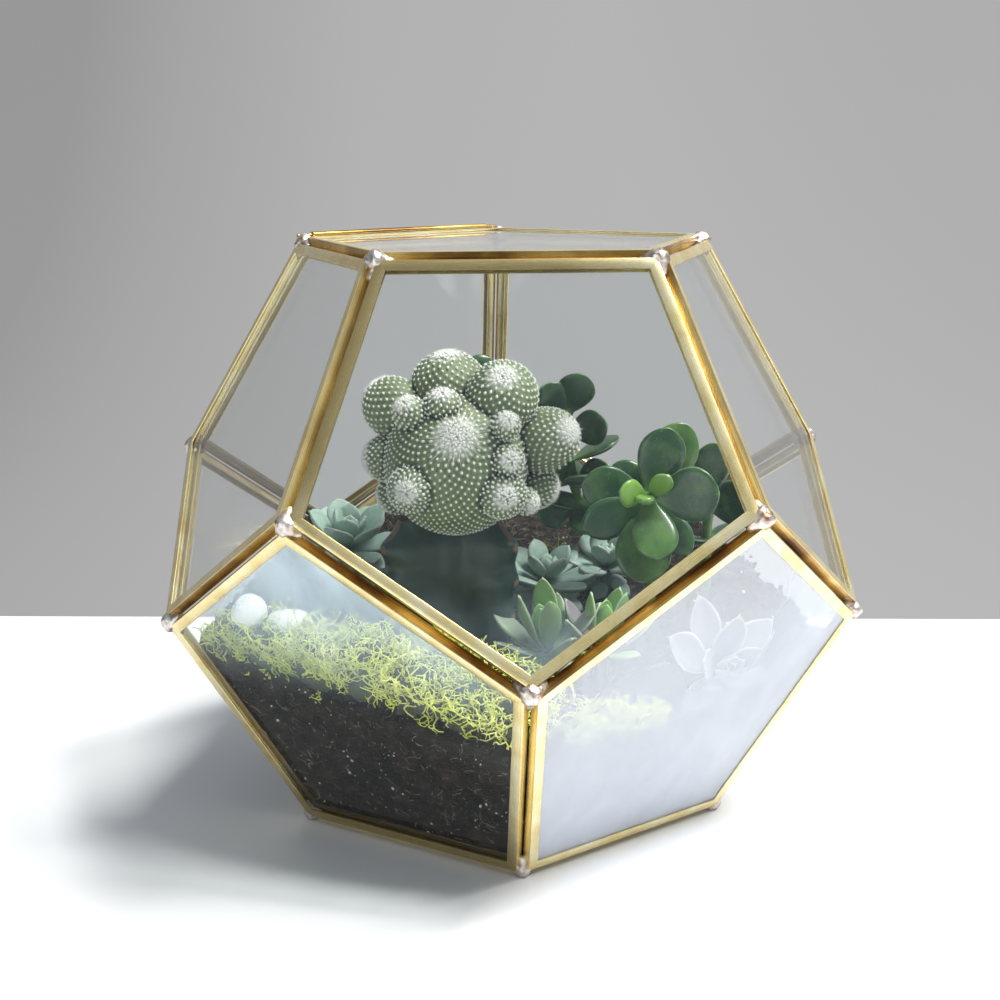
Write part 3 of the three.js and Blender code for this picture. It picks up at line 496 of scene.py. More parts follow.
def leaf_look(name, body_low, body_high, rim, base, gloss, bloom=None, rim_from=0.72, base_to=0.3,
              rim_share=1, coat=0, dots=0):
    """Succulent leaf: two body colours, a rim and tip of another, a base that blends into a fourth,
    fine pale dots, and, on powdery leaves, a pale bloom that is worn off in patches."""
    look = Look(name)
    blot = look.noise(6, 4, 0.6)
    mood = look.math("MULTIPLY_ADD", look.math("SUBTRACT", blot, 0.5), 0.6, look.value("pick"))
    look.start(mood, (0.1, body_low), (0.9, body_high))
    if bloom:
        look.paint(look.noise(2.4, 5, 0.7), (0.38, 0.25), (0.6, 0.8), bloom)
    look.paint(look.cells(1.4), (0.06, dots), (0.14, 0), (0.4, 0.48, 0.38))
    look.paint(look.value("along"), (0, 1), (base_to, 0), base)
    look.paint(look.value("margin"), (rim_from, 0), (1, rim_share), rim)
    return look.skin(gloss, (blot, 0.1), Subsurface_Weight=0.12, Subsurface_Radius=(0.6, 1.2, 0.3),
                     Subsurface_Scale=0.0015, Coat_Weight=coat, Coat_Roughness=0.15)


def moss_look():
    """Reindeer lichen: yellow-green tips, darker and greener further down each strand, partly its own colour
    and partly painted shade deep in the cushion. Strands are lighter higher up and further right, as painted
    light.
    """
    look = Look("moss_strand")
    blot = look.math("SUBTRACT", look.noise(14, 3, 0.6), 0.5)
    look.start(look.math("MULTIPLY_ADD", blot, 1.1, look.value("pick")), (0.1, (0.3, 0.42, 0.03)),
               (0.5, (0.66, 0.74, 0.07)), (0.9, (0.92, 0.94, 0.26)))
    # Painted shade, in part: the strands darken towards their feet, deep in the cushion.
    look.paint(look.value("along"), (0.15, 0.9), (0.65, 0), (0.07, 0.12, 0.006))
    return look.skin(0.8, (look.noise(0.5, 3, 0.7), 0.1), Subsurface_Weight=0.1,
                     Subsurface_Radius=(1, 1, 0.2), Subsurface_Scale=0.001)


def stone_look(name, low, high, vein, roughness):
    look = Look(name)
    look.start(look.noise(6, 5, 0.6), (0.3, low), (0.7, high))
    look.paint(look.noise(3.5, 6, 0.7, distortion=1.5), (0.6, 0), (0.68, 0.4), vein)
    return look.skin(roughness, (look.noise(0.8, 4, 0.7), 0.08), Coat_Weight=0.3, Coat_Roughness=0.25)


def table_look():
    look = Look("table_white")
    look.start(look.noise(90, 3, 0.5), (0.3, (0.8471, 0.85695, 0.87665)), (0.7, (0.86, 0.87, 0.89)))
    return look.skin(0.45, Specular_IOR_Level=0.3)


def wall_look():
    """A grey wall with its own soft light, dim at the left end and a little at the right."""
    look = Look("wall_grey")
    share = look.node("MapRange", Value=look.axis("X"), From_Min=-0.4, From_Max=0.44)
    glow = look.ramp(share, (0.05, (0.67, 0.662, 0.668)), (0.17, (0.8, 0.795, 0.798)),
                     (0.38, (0.955, 0.95, 0.955)), (0.67, (0.985, 0.98, 0.985)), (1, (0.9, 0.895, 0.9)))
    look.colour = (0.02, 0.02, 0.02, 1)
    return look.skin(0.9, Specular_IOR_Level=0.3, Emission_Color=glow, Emission_Strength=0.425)


# ---- cames
BEVEL = 0.16  # rounding of the came's edges
BAR_RINGS = 18
# Painted shade: darker flanges by height on two faces, a dim reflection on the upper front and shade with
# some dirt low on the lower front left.
PAINTED_SHADE = {"upper_front": (100, 128), "lower_front_left": (24, 6)}  # from bright to dull, by height
PAINTED_SHADE_END = 42  # and to this far right
HINGE_ENDS = corner("roof", 4), corner("roof", 3)
HINGE_WAY = unit(HINGE_ENDS[1] - HINGE_ENDS[0])
HINGE_AWAY = unit(sum(HINGE_ENDS) * [1, 1, 0])
HINGE = sum(HINGE_ENDS) / 2 + HINGE_AWAY * HINGE_RISE / GOLDEN + UP * HINGE_RISE


def came_profile():
    """The U of a came as (inward from its web's outer face, height) with rounded corners."""
    half = CAME / 2
    slot = half - CAME_WALL
    sharp = vec((0, -half), (0, half), (CAME, half), (CAME, slot), (CAME_WALL, slot),
                (CAME_WALL, -slot), (CAME, -slot), (CAME, -half))
    rounded = []
    for k, point in enumerate(sharp):
        before = unit(sharp[k - 1] - point)
        after = unit(sharp[(k + 1) % 8] - point)
        rounded += [point + way * BEVEL for way in (before, (before + after) * 0.3, after)]
    return np.array(rounded)


CAME_PROFILE = came_profile()


def came_bars(face, skin):
    """Five bars with mitred ends. Each is a little uneven, as bent and soldered by hand."""
    bright, dull = PAINTED_SHADE.get(face.name, (0, 1e6))
    outline = lengths(np.diff(CAME_PROFILE, axis=0))
    across = np.append(0, np.cumsum(outline))
    reach = CAME_APOTHEM - CAME_PROFILE[:, 0]
    places = np.linspace(-1, 1, BAR_RINGS)
    for k, side in enumerate(face.sides):
        way = np.cross(face.outward, side)
        forward = np.sign(way @ (face.corners[(k + 1) % 5] - face.corners[k]))
        base = face.middle + np.outer(reach, side) + np.outer(CAME_PROFILE[:, 1], face.outward)
        rings = base + places[:, None, None] * np.outer(reach * tan(pi / 5), way)
        rings += np.array([side * noise.noise(Vector(ring[0] / 9)) * 0.05 for ring in rings])[:, None]
        points, faces = capped_loft(rings, rings[0].mean(0), rings[-1].mean(0))
        along = EDGE / 2 * (1 + forward * places)
        # Painted shade: the share of dark paint on the flanges, rising upwards on the upper front and
        # downwards on the lower front left, fading out to the right.
        painted_shade = np.clip((points[:, 2] - bright) / (dull - bright), 0, 0.85)
        painted_shade *= np.clip((PAINTED_SHADE_END - points[:, 0]) / 30, 0, 1)
        skin.add(points, faces, along=np.append(np.repeat(along, len(across)), along[[0, -1]]),
                 dull=painted_shade, across=np.append(np.tile(across, len(places)), [0, 0]),
                 bar=k * 3.7 + face.middle[0])


def hinge_tube(skin):
    """The rolled tube of the door's hinge, open at both ends."""
    around = 28
    half = TUBE_LENGTH / 2
    stations = [(TUBE_RADIUS - 0.1, -half), (TUBE_RADIUS, -half + 0.1), (TUBE_RADIUS, half - 0.1),
                (TUBE_RADIUS - 0.1, half), (TUBE_BORE, half), (TUBE_BORE, -half)]
    rim = circle(around, HINGE_AWAY, UP)
    rings = [HINGE + radius * rim + HINGE_WAY * place for radius, place in stations]
    quads = loft_faces(len(rings) + 1, around) % (len(rings) * around)
    skin.add(rings, [quads], along=np.repeat([0, 0, TUBE_LENGTH] * 2, around),
             across=np.tile(2 * pi * np.arange(around) / around, len(rings)), bar=9.0)


def hinge_seam():
    """The line of solder that holds the tube to the door's frame, with a rippled outer skin."""
    slope = pi - 2 * HALF_DIHEDRAL
    start = vec(-HINGE_RISE / GOLDEN, -HINGE_RISE)
    down = vec(cos(slope), -sin(slope))
    outward = vec(sin(slope), cos(slope))
    foot_low, foot_high, head_high, head_low = (start + down * inset + outward * height for inset, height in (
        (CAME_INSET + 0.2, 0), (CAME_INSET + 0.2, CAME / 2 - 0.2),
        (-1.0, HINGE_RISE + 0.6), (-1.7, HINGE_RISE - 0.6)))
    bulge = (foot_high + head_high) / 2 + vec(0.05, 0.1)
    profile = np.array([foot_low, foot_high, bulge, head_high, head_low, (foot_low + head_low) / 2])
    middle = profile.mean(0)
    rings = []
    for place in np.linspace(0.6 - TUBE_LENGTH / 2, TUBE_LENGTH / 2 - 0.6, 60):
        ripple = 1 + 0.05 * noise.noise(Vector((place / 3, 0, 0)))
        section = (middle + (profile - middle) * ripple) @ np.stack([HINGE_AWAY, UP])
        rings.append(HINGE + HINGE_WAY * place + section)
    skin = Skin()
    skin.add(*capped_loft(np.array(rings), rings[0].mean(0), rings[-1].mean(0)))
    return skin


def solder_bead(point, seed):
    """A blob over a corner with a tongue into each of its three grooves, clear of the door."""
    outward = unit(point - CENTRE)
    others = [corner(ring, i) for ring in RINGS for i in range(5)]
    ways, faces = ball(4)
    share = 0.70 if point[2] < 5 else 0.78
    radius = SOLDER_RADIUS * (share + 0.06 * (ways @ outward))
    radius *= 1 + rough(ways * 4 + seed * 9, 3.4, 0.16, seed)
    for groove in (other - point for other in others if abs(np.linalg.norm(other - point) - EDGE) < 1):
        radius += 2.4 * np.maximum(ways @ unit(groove), 0) ** 12
    points = point - outward * 1.5 + ways * radius[:, None]
    if any(np.linalg.norm(c - point) < 1 for c in DOOR.corners):
        points = clear_of_door(points)
    points[:, 2] = np.maximum(points[:, 2], 0.12)
    skin = Skin()
    skin.add(points, [faces])
    return skin


def clear_of_door(points):
    """Pushes points out of the room of the door's frame, through the nearest of its sides."""
    inset = np.stack([(points - DOOR.middle) @ side - CAME_APOTHEM - DOOR_GAP for side in DOOR.sides], 1)
    depth = np.maximum(-inset.max(1), 0)
    return points + np.array(DOOR.sides)[inset.argmax(1)] * depth[:, None]


def make_metal():
    brass = came_look()
    solder = solder_look()
    for face in FACES:
        skin = Skin("along", "across", "bar", "dull")
        came_bars(face, skin)
        if face is DOOR:
            hinge_tube(skin)
        make_piece("came_" + face.name, skin, brass, sharp=30,
                   body=DOOR_BODY if face is DOOR else HOLDER)
    make_piece("hinge_seam", hinge_seam(), solder, sharp=50, body=DOOR_BODY)
    wire = Skin("along", "across", "bar", "dull")
    ends = [HINGE + HINGE_WAY * WIRE_LENGTH * t for t in (-0.5, -0.2, 0.2, 0.5)]
    points, faces = tube(ends, WIRE_RADIUS, 16)
    wire.add(points, faces, along=points @ HINGE_WAY, bar=5.0)
    make_piece("hinge_wire", wire, brass, sharp=40)
    for ring in RINGS:
        for i in range(5):
            bead = solder_bead(corner(ring, i), i + 0.37 * len(ring))
            make_piece(f"solder_{ring}_{i + 1}", bead, solder)


# ---- panes
def make_panes():
    clear = glass_look("pane_clear", 0.02, 0.016, 60)
    # Painted reflection: the hazes on the front, front left and front right panes and the thick veil on the
    # front right one stand in for the bright table mirrored in the glass.
    looks = {
        "roof": glass_look("pane_roof", 0.02, 0.06, 60),
        "upper_front": glass_look("pane_front", 0.02, 0.006, 40, [("Z", 100, 72, 0.10)], 0.0,
                                  (0.72, 0.92, 1.0)),
        "lower_front_left": glass_look("pane_painted_haze", 0.015, 0.003, 45, [("Z", 50, 100, 0.45)], 0.5,
                                       (0.78, 0.92, 1.0)),
        "lower_front_right": glass_look("pane_painted_glare", 0.10, 0.26, 70,
                                        [("Z", 75, 5, 0.20), ("X", 62, 108, 0.35)], 0.7),
    }
    for face in FACES:
        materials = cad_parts["pane_" + face.name].data.materials
        materials.clear()
        materials.append(looks.get(face.name, clear))


# ---- soil
SOIL_FRONT = 44
SOIL_SLOPE = 0.17
SOIL_BANK = 8
SOIL_BUMP = 0.9
DIP_AT = (42, -64)
DIP_DEPTH = 11
DIP_SPREAD = 24
ROOT_DEPTH = 5
SOIL_GRID = 1.4
GRAINS = 1800
GRAIN_CLUSTERS = 60
FIBRES = 3900


def soil_height(x, y):
    slope = SOIL_FRONT + SOIL_SLOPE * (y + SMALL_RING * 1.3)
    bank = SOIL_BANK * (x / 90) ** 2
    dip = DIP_DEPTH * exp(-dist((x, y), DIP_AT) ** 2 / (2 * DIP_SPREAD**2))
    bumps = sin(x * 0.21 + 1.3) * cos(y * 0.17) + 0.6 * sin(x * 0.43 - y * 0.37)
    return slope + bank - dip + SOIL_BUMP * bumps


def lumpy_soil():
    """The CAD's soil as an even mesh with lumps, and its points in mm."""
    work = add_object("work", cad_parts["soil"].data.copy())
    grid = work.modifiers.new("grid", "REMESH")
    grid.mode = "VOXEL"
    grid.voxel_size = SOIL_GRID * MM
    graph = bpy.context.evaluated_depsgraph_get()
    mesh = bpy.data.meshes.new_from_object(work.evaluated_get(graph))
    bpy.data.objects.remove(work)
    points = np.array([v.co for v in mesh.vertices], float) / MM - SHIFT
    normals = np.array([v.normal for v in mesh.vertices])
    lumps = rough(points, 6.5, 1.3) + rough(points, 2.4, 1.0, 5.0)
    lumps = np.where(normals[:, 2] > 0.5, lumps * 1.3, lumps * 0.8 - 0.5)
    points = keep_inside(points + normals * lumps[:, None], 0.2)
    mesh.vertices.foreach_set("co", ((points + SHIFT) * MM).ravel())
    mesh.polygons.foreach_set("use_smooth", np.ones(len(mesh.polygons), bool))
    mesh.update()
    return mesh, points


def make_soil():
    mesh, points = lumpy_soil()
    make_piece("soil", mesh, soil_look())

    random = np.random.default_rng(11)
    corners = points[[list(p.vertices)[:3] for p in mesh.polygons]]
    normal = np.cross(corners[:, 1] - corners[:, 0], corners[:, 2] - corners[:, 0])
    area = lengths(normal)
    normal /= np.maximum(area, 1e-9)[:, None]
    chance = area * (normal[:, 2] > -0.9) * (corners[:, 0, 2] > 4)
    chance /= chance.sum()
    grains = Skin()
    picked = [(k, 0.09 + 0.5 * random.random() ** 6) for k in random.choice(len(area), GRAINS, p=chance)]
    for k in random.choice(len(area), GRAIN_CLUSTERS, p=chance):
        near = np.flatnonzero(lengths(corners[:, 0] - corners[k, 0]) < 3.5)
        picked += [(m, 0.15 + 0.45 * random.random() ** 2) for m in random.choice(near, 5)]
    for k, size in picked:
        ways, faces = ball(1)
        shape = ways * size * (0.55 + 0.8 * random.random((1, 3)))
        shape = shape @ turn_from_up(random.normal(size=3)) * (1 + 0.25 * rough(ways * 3, 1.5, 1, k))[:, None]
        grains.add(keep_inside(corners[k, 0] + normal[k] * size * 0.15 + shape, 0.1), [faces])
    make_piece("perlite", grains, matte_look("perlite", (0.50, 0.48, 0.45), (0.86, 0.85, 0.83), 1.5, 0.85),
               sharp=35)
    fibres = Skin()
    for k in random.choice(len(area), FIBRES, p=chance):
        length = 1.2 + 4.8 * random.random() ** 2
        way = unit(np.cross(normal[k], random.normal(size=3)))
        path = [corners[k, 0] + normal[k] * 0.25]
        turn = random.normal() * 0.5
        for _ in range(4):
            way = unit(way + np.cross(normal[k], way) * (turn + random.normal() * 0.25)
                       + normal[k] * random.normal() * 0.12)
            path.append(path[-1] + way * length / 4)
        width = 0.045 + 0.08 * random.random() ** 4
        fibres.add(*tube(keep_inside(path, 0.12 + width), width * vec(0.6, 1, 1.1, 0.9, 0.4), 3))
    make_piece("fibres", fibres, matte_look("fibre", (0.09, 0.07, 0.055), (0.60, 0.50, 0.41), 5))


# ---- grafted cactus
STOCK_AT = vec(-19.5, -19, 0)
STOCK_REACH = 23.7
STOCK_SHOULDER = 91.0
STOCK_TOP = 98.5
STOCK_AREOLE = 90.0  # height of a rib's topmost areole
STOCK_SCALLOP = 11.0  # spacing of the areoles along a rib


def make_stock():
    foot = soil_height(*STOCK_AT[:2]) - 9
    angles = 2 * pi * np.arange(144) / 144 + pi / 2
    rib = np.abs(np.cos(1.5 * (angles - pi / 2)))
    z = np.linspace(foot, STOCK_TOP, 90)
    plan = np.interp(z, [foot, foot + 8, foot + 16, 78, STOCK_SHOULDER, STOCK_SHOULDER + 1, STOCK_TOP],
                     [0.72, 0.8, 0.93, 1.0, 1.0, 0.98, 0.75])
    soft = np.convolve(np.pad(plan, 3, mode="edge"), np.ones(7) / 7, "valid")
    plan = np.where(z < STOCK_SHOULDER - 4, soft, plan)[:, None]
    z = z[:, None]
    beat = (1 + np.cos((z - STOCK_AREOLE) * 2 * pi / STOCK_SCALLOP)) / 2
    radius = STOCK_REACH * plan * (0.5 + 0.5 * rib**4) * (1 - 0.06 * rib**8 * (1 - beat))
    rings = STOCK_AT + np.stack([radius * np.cos(angles), radius * np.sin(angles), z + 0 * radius], 2)
    bevel = np.clip((z - STOCK_SHOULDER - 0.5) / 2, 0, 1)
    low = np.clip((foot + 14 - z) / 10, 0, 1) * 0.5
    cork = np.maximum(np.maximum(rib**160 * beat**5, bevel * rib**260), low)
    unevenness = rough(rings.reshape(-1, 3), 12, 0.025).reshape(*radius.shape, 1)
    rings += (rings - STOCK_AT) * [1, 1, 0] * unevenness
    skin = Skin("cork")
    skin.add(*capped_loft(rings, STOCK_AT + UP * foot, STOCK_AT + UP * STOCK_TOP),
             cork=np.append(cork.ravel(), [0, 0]))
    make_piece("cactus_stock", skin, stock_look(), sharp=60)


HEADS = [  # middle, radius across, radius along, and the way to the woolly tip
    ((-17.3, -25, 115.5), 21.6, 20.6, (0, -0.83, 0.56)),
    ((-19, -14, 137.6), 11.6, 10.6, (-0.1, -0.2, 1)),
    ((-3, -25, 136), 10.8, 10.4, (-0.05, -0.7, 0.7)),
    ((9.4, -21, 121.5), 9.8, 13, (0.62, -0.70, 0.35)),
    ((8, -18, 106.5), 6.8, 6.4, (0.9, -0.1, -0.3)),
    ((-36, -16, 131.5), 9.2, 9.6, (-0.7, 0.3, 0.6)),
    ((-38.5, -19, 116.3), 7, 6.6, (-1, 0, -0.1)),
    ((-35.5, -18, 104.8), 6.2, 5.8, (-0.8, 0.1, -0.4)),
    ((-31, -33, 132.5), 5, 4.8, (-0.4, -0.5, 0.8)),
    ((-21.3, -33, 135), 5.4, 4.2, (-0.05, -0.4, 0.9)),
    ((-2.6, -38, 129), 4.1, 4.3, (0.1, -0.7, 0.6)),
    ((-2.2, -41, 119), 4.7, 4.6, (0.15, -0.9, 0.2)),
    ((-31, -40.8, 111), 6.8, 6.4, (-0.25, -1, 0.05)),
    ((-4, -40.8, 109), 7.1, 6.6, (0.15, -1, 0.05)),
    ((3, -33, 105.3), 4, 4.6, (0.7, -0.7, -0.2)),
    ((-22, -4, 124), 12, 11, (-0.2, 0.9, 0.3)),
    ((-6, -6, 113), 11, 10.5, (0.3, 0.95, -0.05)),
]
AREOLE_SPACING = 2.05
KNOB = 0.6  # how far a tubercle stands out of the furrows round it
WOOL_ZONE = 2.7  # radius of the white zone at a small head's tip, a little more on larger heads
WOOL_SPACING = 1.1  # between the young areoles there


class Head:
    def __init__(self, at, radius, long, tip):
        self.at = vec(*at)
        self.size = vec(radius, radius, long)
        self.turn = turn_from_up(vec(*tip))

    def place(self, ways, lift):
        """Points on the globe, given as unit vectors with +Z at its woolly tip."""
        return self.at + (ways * (self.size + lift[:, None])) @ self.turn.T

    def normals(self, ways):
        slopes = (ways / self.size) @ self.turn.T
        return slopes / lengths(slopes)[:, None]

    def depth(self, points):
        """About how far points are outside the globe, in mm."""
        local = (points - self.at) @ self.turn / self.size
        return (lengths(local) - 1) * self.size.min()

    def spiral(self, spacing):
        """Unit vectors of a golden spiral from the tip, evenly spread over the globe."""
        count = int(4 * pi * self.size[0] * self.size[2] / (0.866 * spacing**2))
        k = np.arange(count) + 0.5
        height = 1 - 2 * k / count
        side = np.sqrt(1 - height**2)
        return np.stack([side * np.cos(k * GOLDEN_ANGLE), side * np.sin(k * GOLDEN_ANGLE), height], 1)


def needle(foot, way, length, radius, skin, tone):
    """A three-sided needle from its foot."""
    side = unit(np.cross(way, vec(0.31, 0.59, 0.74)))
    ring = foot + radius * circle(3, side, np.cross(way, side))
    skin.add([*ring, foot + way * length], [[[0, 2, 1], [0, 1, 3], [1, 2, 3], [2, 0, 3]]], tone=tone)


def add_areole(place, normal, tip, youth, dots, spines, random):
    """A felted dot, longer towards the tip, with short white spines flat round it. The younger it
    is, the larger its felt and the longer its spines."""
    ways, faces = ball(1)
    along = tip - normal * (tip @ normal)
    along = unit(along) if np.linalg.norm(along) > 0.05 else unit(np.cross(normal, vec(1, 0.2, 0)))
    across = np.cross(normal, along)
    size = (0.42 + 0.15 * youth) * (0.85 + 0.3 * random.random())
    basis = np.stack([across * size * 0.85, along * size * 1.15, normal * size * 0.8])
    dots.add(place + ways @ basis, [faces], tone=0.8 + 0.2 * random.random())
    for k in range(4):
        angle = 2 * pi * (k + 0.3 * random.random()) / 4
        way = unit(across * cos(angle) + along * sin(angle) + normal * (0.28 + 0.4 * youth))
        length = 0.65 + 0.55 * youth + 0.5 * random.random()
        needle(place + normal * 0.1, way, length, 0.055, spines, 0.7 + 0.3 * random.random())


def add_crown(head, reach, spines, random):
    """Rows of white needles that radiate from a head's tip and lie down over its young areoles."""
    zone = reach / head.size[0]
    rows = int(14 + 0.6 * head.size[0])
    for k in range(rows * 8):
        spread = zone * (0.06 + 0.115 * (k // rows + random.random() * 0.5))
        angle = 2 * pi * (k % rows + 0.25 * random.random()) / rows
        flat = vec(cos(angle), sin(angle), 0)
        way = (flat * sin(spread) + UP * cos(spread))[None]
        outward = head.turn @ (flat * cos(spread) - UP * sin(spread))
        lean = outward + head.normals(way)[0] * (0.24 + 0.2 * random.random())
        lean = unit(lean + random.normal(size=3) * 0.05)
        length = 1.1 + 0.035 * reach * rows * random.random()
        needle(head.place(way, vec(-0.5))[0], lean, length, 0.13, spines, 0.8 + 0.2 * random.random())


def make_scion():
    heads = [Head(*plan) for plan in HEADS]
    random = np.random.default_rng(4)
    skins = [Skin("knob", "crown", "crease") for _ in range(2)]
    dots = Skin("tone")
    spines = Skin("tone")
    for number, head in enumerate(heads):
        width = head.size[0]
        ways, faces = ball(6 if number == 0 else 5 if width > 8.5 else 4)
        spacing = AREOLE_SPACING * (1 if width > 9 else 0.8)
        spots = head.spiral(spacing)
        tree = kdtree.KDTree(len(spots))
        for k, spot in enumerate(spots * head.size):
            tree.insert(spot, k)
        tree.balance()
        near = np.array([tree.find(Vector(p))[2] for p in ways * head.size])
        knob = np.clip(1 - (near / (0.62 * spacing)) ** 2, 0, 1)
        reach = WOOL_ZONE + 0.2 * width
        crown = np.clip(1.15 - np.arccos(np.clip(ways[:, 2], -1, 1)) * width / reach, 0, 1)
        points = head.place(ways, KNOB * (knob - 0.6) * (1 - 0.6 * crown) - 0.9 * crown**2)
        rest = [other for other in heads if other is not head]
        # Painted shade: how close each point lies to another head's skin, for dark paint in the creases
        # between heads.
        crease = np.clip(1 - np.min([other.depth(points) for other in rest], axis=0) / 1.8, 0, 1)
        skins[min(number, 1)].add(points, [faces], knob=knob, crown=crown, crease=crease)
        zone = reach / width
        extra = head.spiral(WOOL_SPACING)
        spots = np.concatenate([spots, extra[extra[:, 2] > cos(zone * 0.75)]])
        places = head.place(spots, np.full(len(spots), KNOB * 0.4 - 0.05))
        hidden = np.any([other.depth(places) < 0 for other in rest], axis=0)
        for spot, place, normal in zip(spots[~hidden], places[~hidden], head.normals(spots)[~hidden]):
            youth = np.clip(1.4 - 0.7 * acos(min(spot[2], 1)) / zone, 0, 1)
            add_areole(place, normal, head.turn[:, 2], youth, dots, spines, random)
        add_crown(head, reach, spines, random)
    skin = scion_look()
    wool = wool_look()
    make_piece("scion_head", skins[0], skin, "cactus_scion")
    make_piece("scion_offsets", skins[1], skin, "cactus_scion")
    make_piece("scion_areoles", dots, wool)
    make_piece("scion_spines", spines, wool)


# ---- leaves
def add_leaf(skin, foot, way, face, length, width, form, pick, plump=0.8, tip=0):
    """A thick leaf from its foot along a way, its upper face turned towards another. Its form is
    thickness, widest place, taper, base, curl and cup. tip draws its end out to a point."""
    thickness, widest, taper, base, curl, cup = form
    along = unit(vec(*way))
    upper = vec(*face)
    upper = unit(upper - along * (upper @ along))
    stations = (1 - np.cos(np.linspace(0.06, pi - 0.06, 17))) / 2
    t = stations[:, None]
    angles = 2 * pi * np.arange(16) / 16
    flat = np.abs(np.cos(angles))
    swell = np.sin(pi * t ** (log(0.5) / log(widest))) ** taper
    swell = np.maximum(swell, np.where(t < widest, base, 0))
    half = width / 2 * swell
    x = half * np.sign(np.cos(angles)) * flat**0.9
    z = thickness / 2 * np.maximum(swell, 0.35) * plump * np.sin(angles) + cup * half * flat**1.6
    radius = length / curl
    rings = np.stack([x, (radius - z) * np.sin(curl * t), radius - (radius - z) * np.cos(curl * t)], 2)
    end = vec(0, radius * sin(curl) + tip, radius * (1 - cos(curl)))
    points, faces = capped_loft(rings, vec(0, 0, 0), end)
    rim = np.maximum(flat**2, np.clip((t - 0.8) / 0.2, 0, 1))
    skin.add(points @ np.stack([np.cross(along, upper), along, upper]) + foot, faces, pick=pick,
             margin=np.append(rim, [0, 1]), along=np.append(np.repeat(stations, 16), [0, 1]))


# Whorls are (count, length, width, rise in degrees, height of the feet). extra holds young or
# drooping ones that the CAD leaves out, and fresh is how much greener each whorl is than the last.
Rosette = namedtuple("Rosette", "x y lift radius axis seed form whorls extra tip fresh", defaults=(0,))
SKIRT = [(6, 14, 9, -24, -3), (5, 10, 7, -44, -6)]
YOUNG = [(3, 6, 4, 74, 2.5), (5, 9, 6, -38, -3.5)]
POINTED = [(3, 14, 6, 70, 2), (4, 13, 6.5, 6, -1)]
POINTED_FORM = (3.2, 0.64, 0.66, 0.36, 0.5, 0.2)
ROSETTES = {
    "echeveria": [
        Rosette(-53, 20, 14, 5, (0.1, -0.3, 0.9), 21, (3.2, 0.66, 0.6, 0.4, 0.4, 0.25),
                [(6, 18, 11, 8, -1), (5, 16, 10.5, 34, 0.5), (4, 12, 8, 60, 2)],
                [(3, 8, 5.5, 74, 3), *SKIRT], 0.8),
        Rosette(-52, 1, 10, 3.5, (0.1, -0.4, 0.9), 24, (2.8, 0.64, 0.6, 0.4, 0.4, 0.25),
                [(6, 12, 7.5, 12, 0), (4, 9, 6, 52, 1.2)], YOUNG, 0.5),
    ],
    "pale_rosette": [
        Rosette(12, 2, 12, 4.5, (0.1, -0.2, 1), 22, (3.6, 0.62, 0.6, 0.4, 0.3, 0.15),
                [(6, 18, 10, 14, 0), (4, 12, 8, 52, 1.5)], [(3, 7, 5, 72, 3), *SKIRT], 0.5),
        Rosette(33, 12, 11, 3.5, (0, -0.3, 1), 25, (3.2, 0.62, 0.6, 0.4, 0.3, 0.15),
                [(6, 15, 9, 14, 0), (4, 11, 7, 54, 1.2)], YOUNG, 0.5),
    ],
    "pink_rosette": [
        Rosette(60, -46, 6.5, 4.5, (0.35, -0.8, 0.35), 23, (2.6, 0.55, 0.8, 0.4, 0.45, 0.3),
                [(6, 23, 11, 8, -0.5), (5, 19, 10, 34, 0.5), (3, 12, 6.5, 64, 1.5)],
                [(3, 7, 4, 78, 2.5)], 1.2),
    ],
    "pointed_rosettes": [
        Rosette(10, -37, 9, 3.6, (-0.15, -0.25, 1), 31, POINTED_FORM,
                [(5, 21, 7.6, 22, 0), (3, 22, 7.4, 60, 0.5)], POINTED, 0.6, 0.3),
        Rosette(26, -35, 9, 3.6, (0.15, -0.2, 1), 32, POINTED_FORM,
                [(5, 19, 7.2, 26, 0), (3, 21, 7, 62, 0.5)], POINTED, 0.6, 0.55),
    ],
}


def add_rosette(skin, plan):
    random = seeded_random(plan.seed)
    ground = soil_height(plan.x, plan.y)
    crown = vec(plan.x, plan.y, ground + plan.lift)
    tilt = turn_from_up(vec(*plan.axis))
    for ring, (count, length, width, rise, height) in enumerate(plan.whorls + plan.extra):
        for i in range(count):
            angle = 2 * pi * (i + ring * 0.5 + 0.3 * (random() - 0.5)) / count
            pitch = radians(rise + 8 * (random() - 0.5))
            size = 1 + 0.16 * (random() - 0.5)
            flat = vec(cos(angle), sin(angle), 0)
            way = flat * cos(pitch) + UP * sin(pitch)
            foot = flat * plan.radius * 0.25 + UP * height
            pick = 0.9
            if ring < len(plan.whorls):
                pick = 0.35 + plan.fresh * (ring - 0.5) + 0.3 * random()
            add_leaf(skin, crown + tilt @ foot, tilt @ way, tilt @ UP, length * size, width * size,
                     plan.form, pick, tip=plan.tip)
    root = smooth_path([vec(plan.x, plan.y, ground - ROOT_DEPTH), crown], 5)
    skin.add(*tube(root, plan.radius * 0.6, 10), pick=0.3)


FRONT = (0, -1, 0.1)
JADE_FORM = (3.8, 0.62, 0.52, 0.3, 0.25, 0.1)


def upright_path(x, y, *rest):
    ground = soil_height(x, y)
    return [(x, y, ground - ROOT_DEPTH - 1), (x, y, ground + 6), *rest]


def leaf_pair(foot, side, length, width, rise):
    flat = vec(cos(side), sin(side), 0)
    return [(foot, tuple(flat * sign + UP * rise), length, width, UP) for sign in (1, -1)]


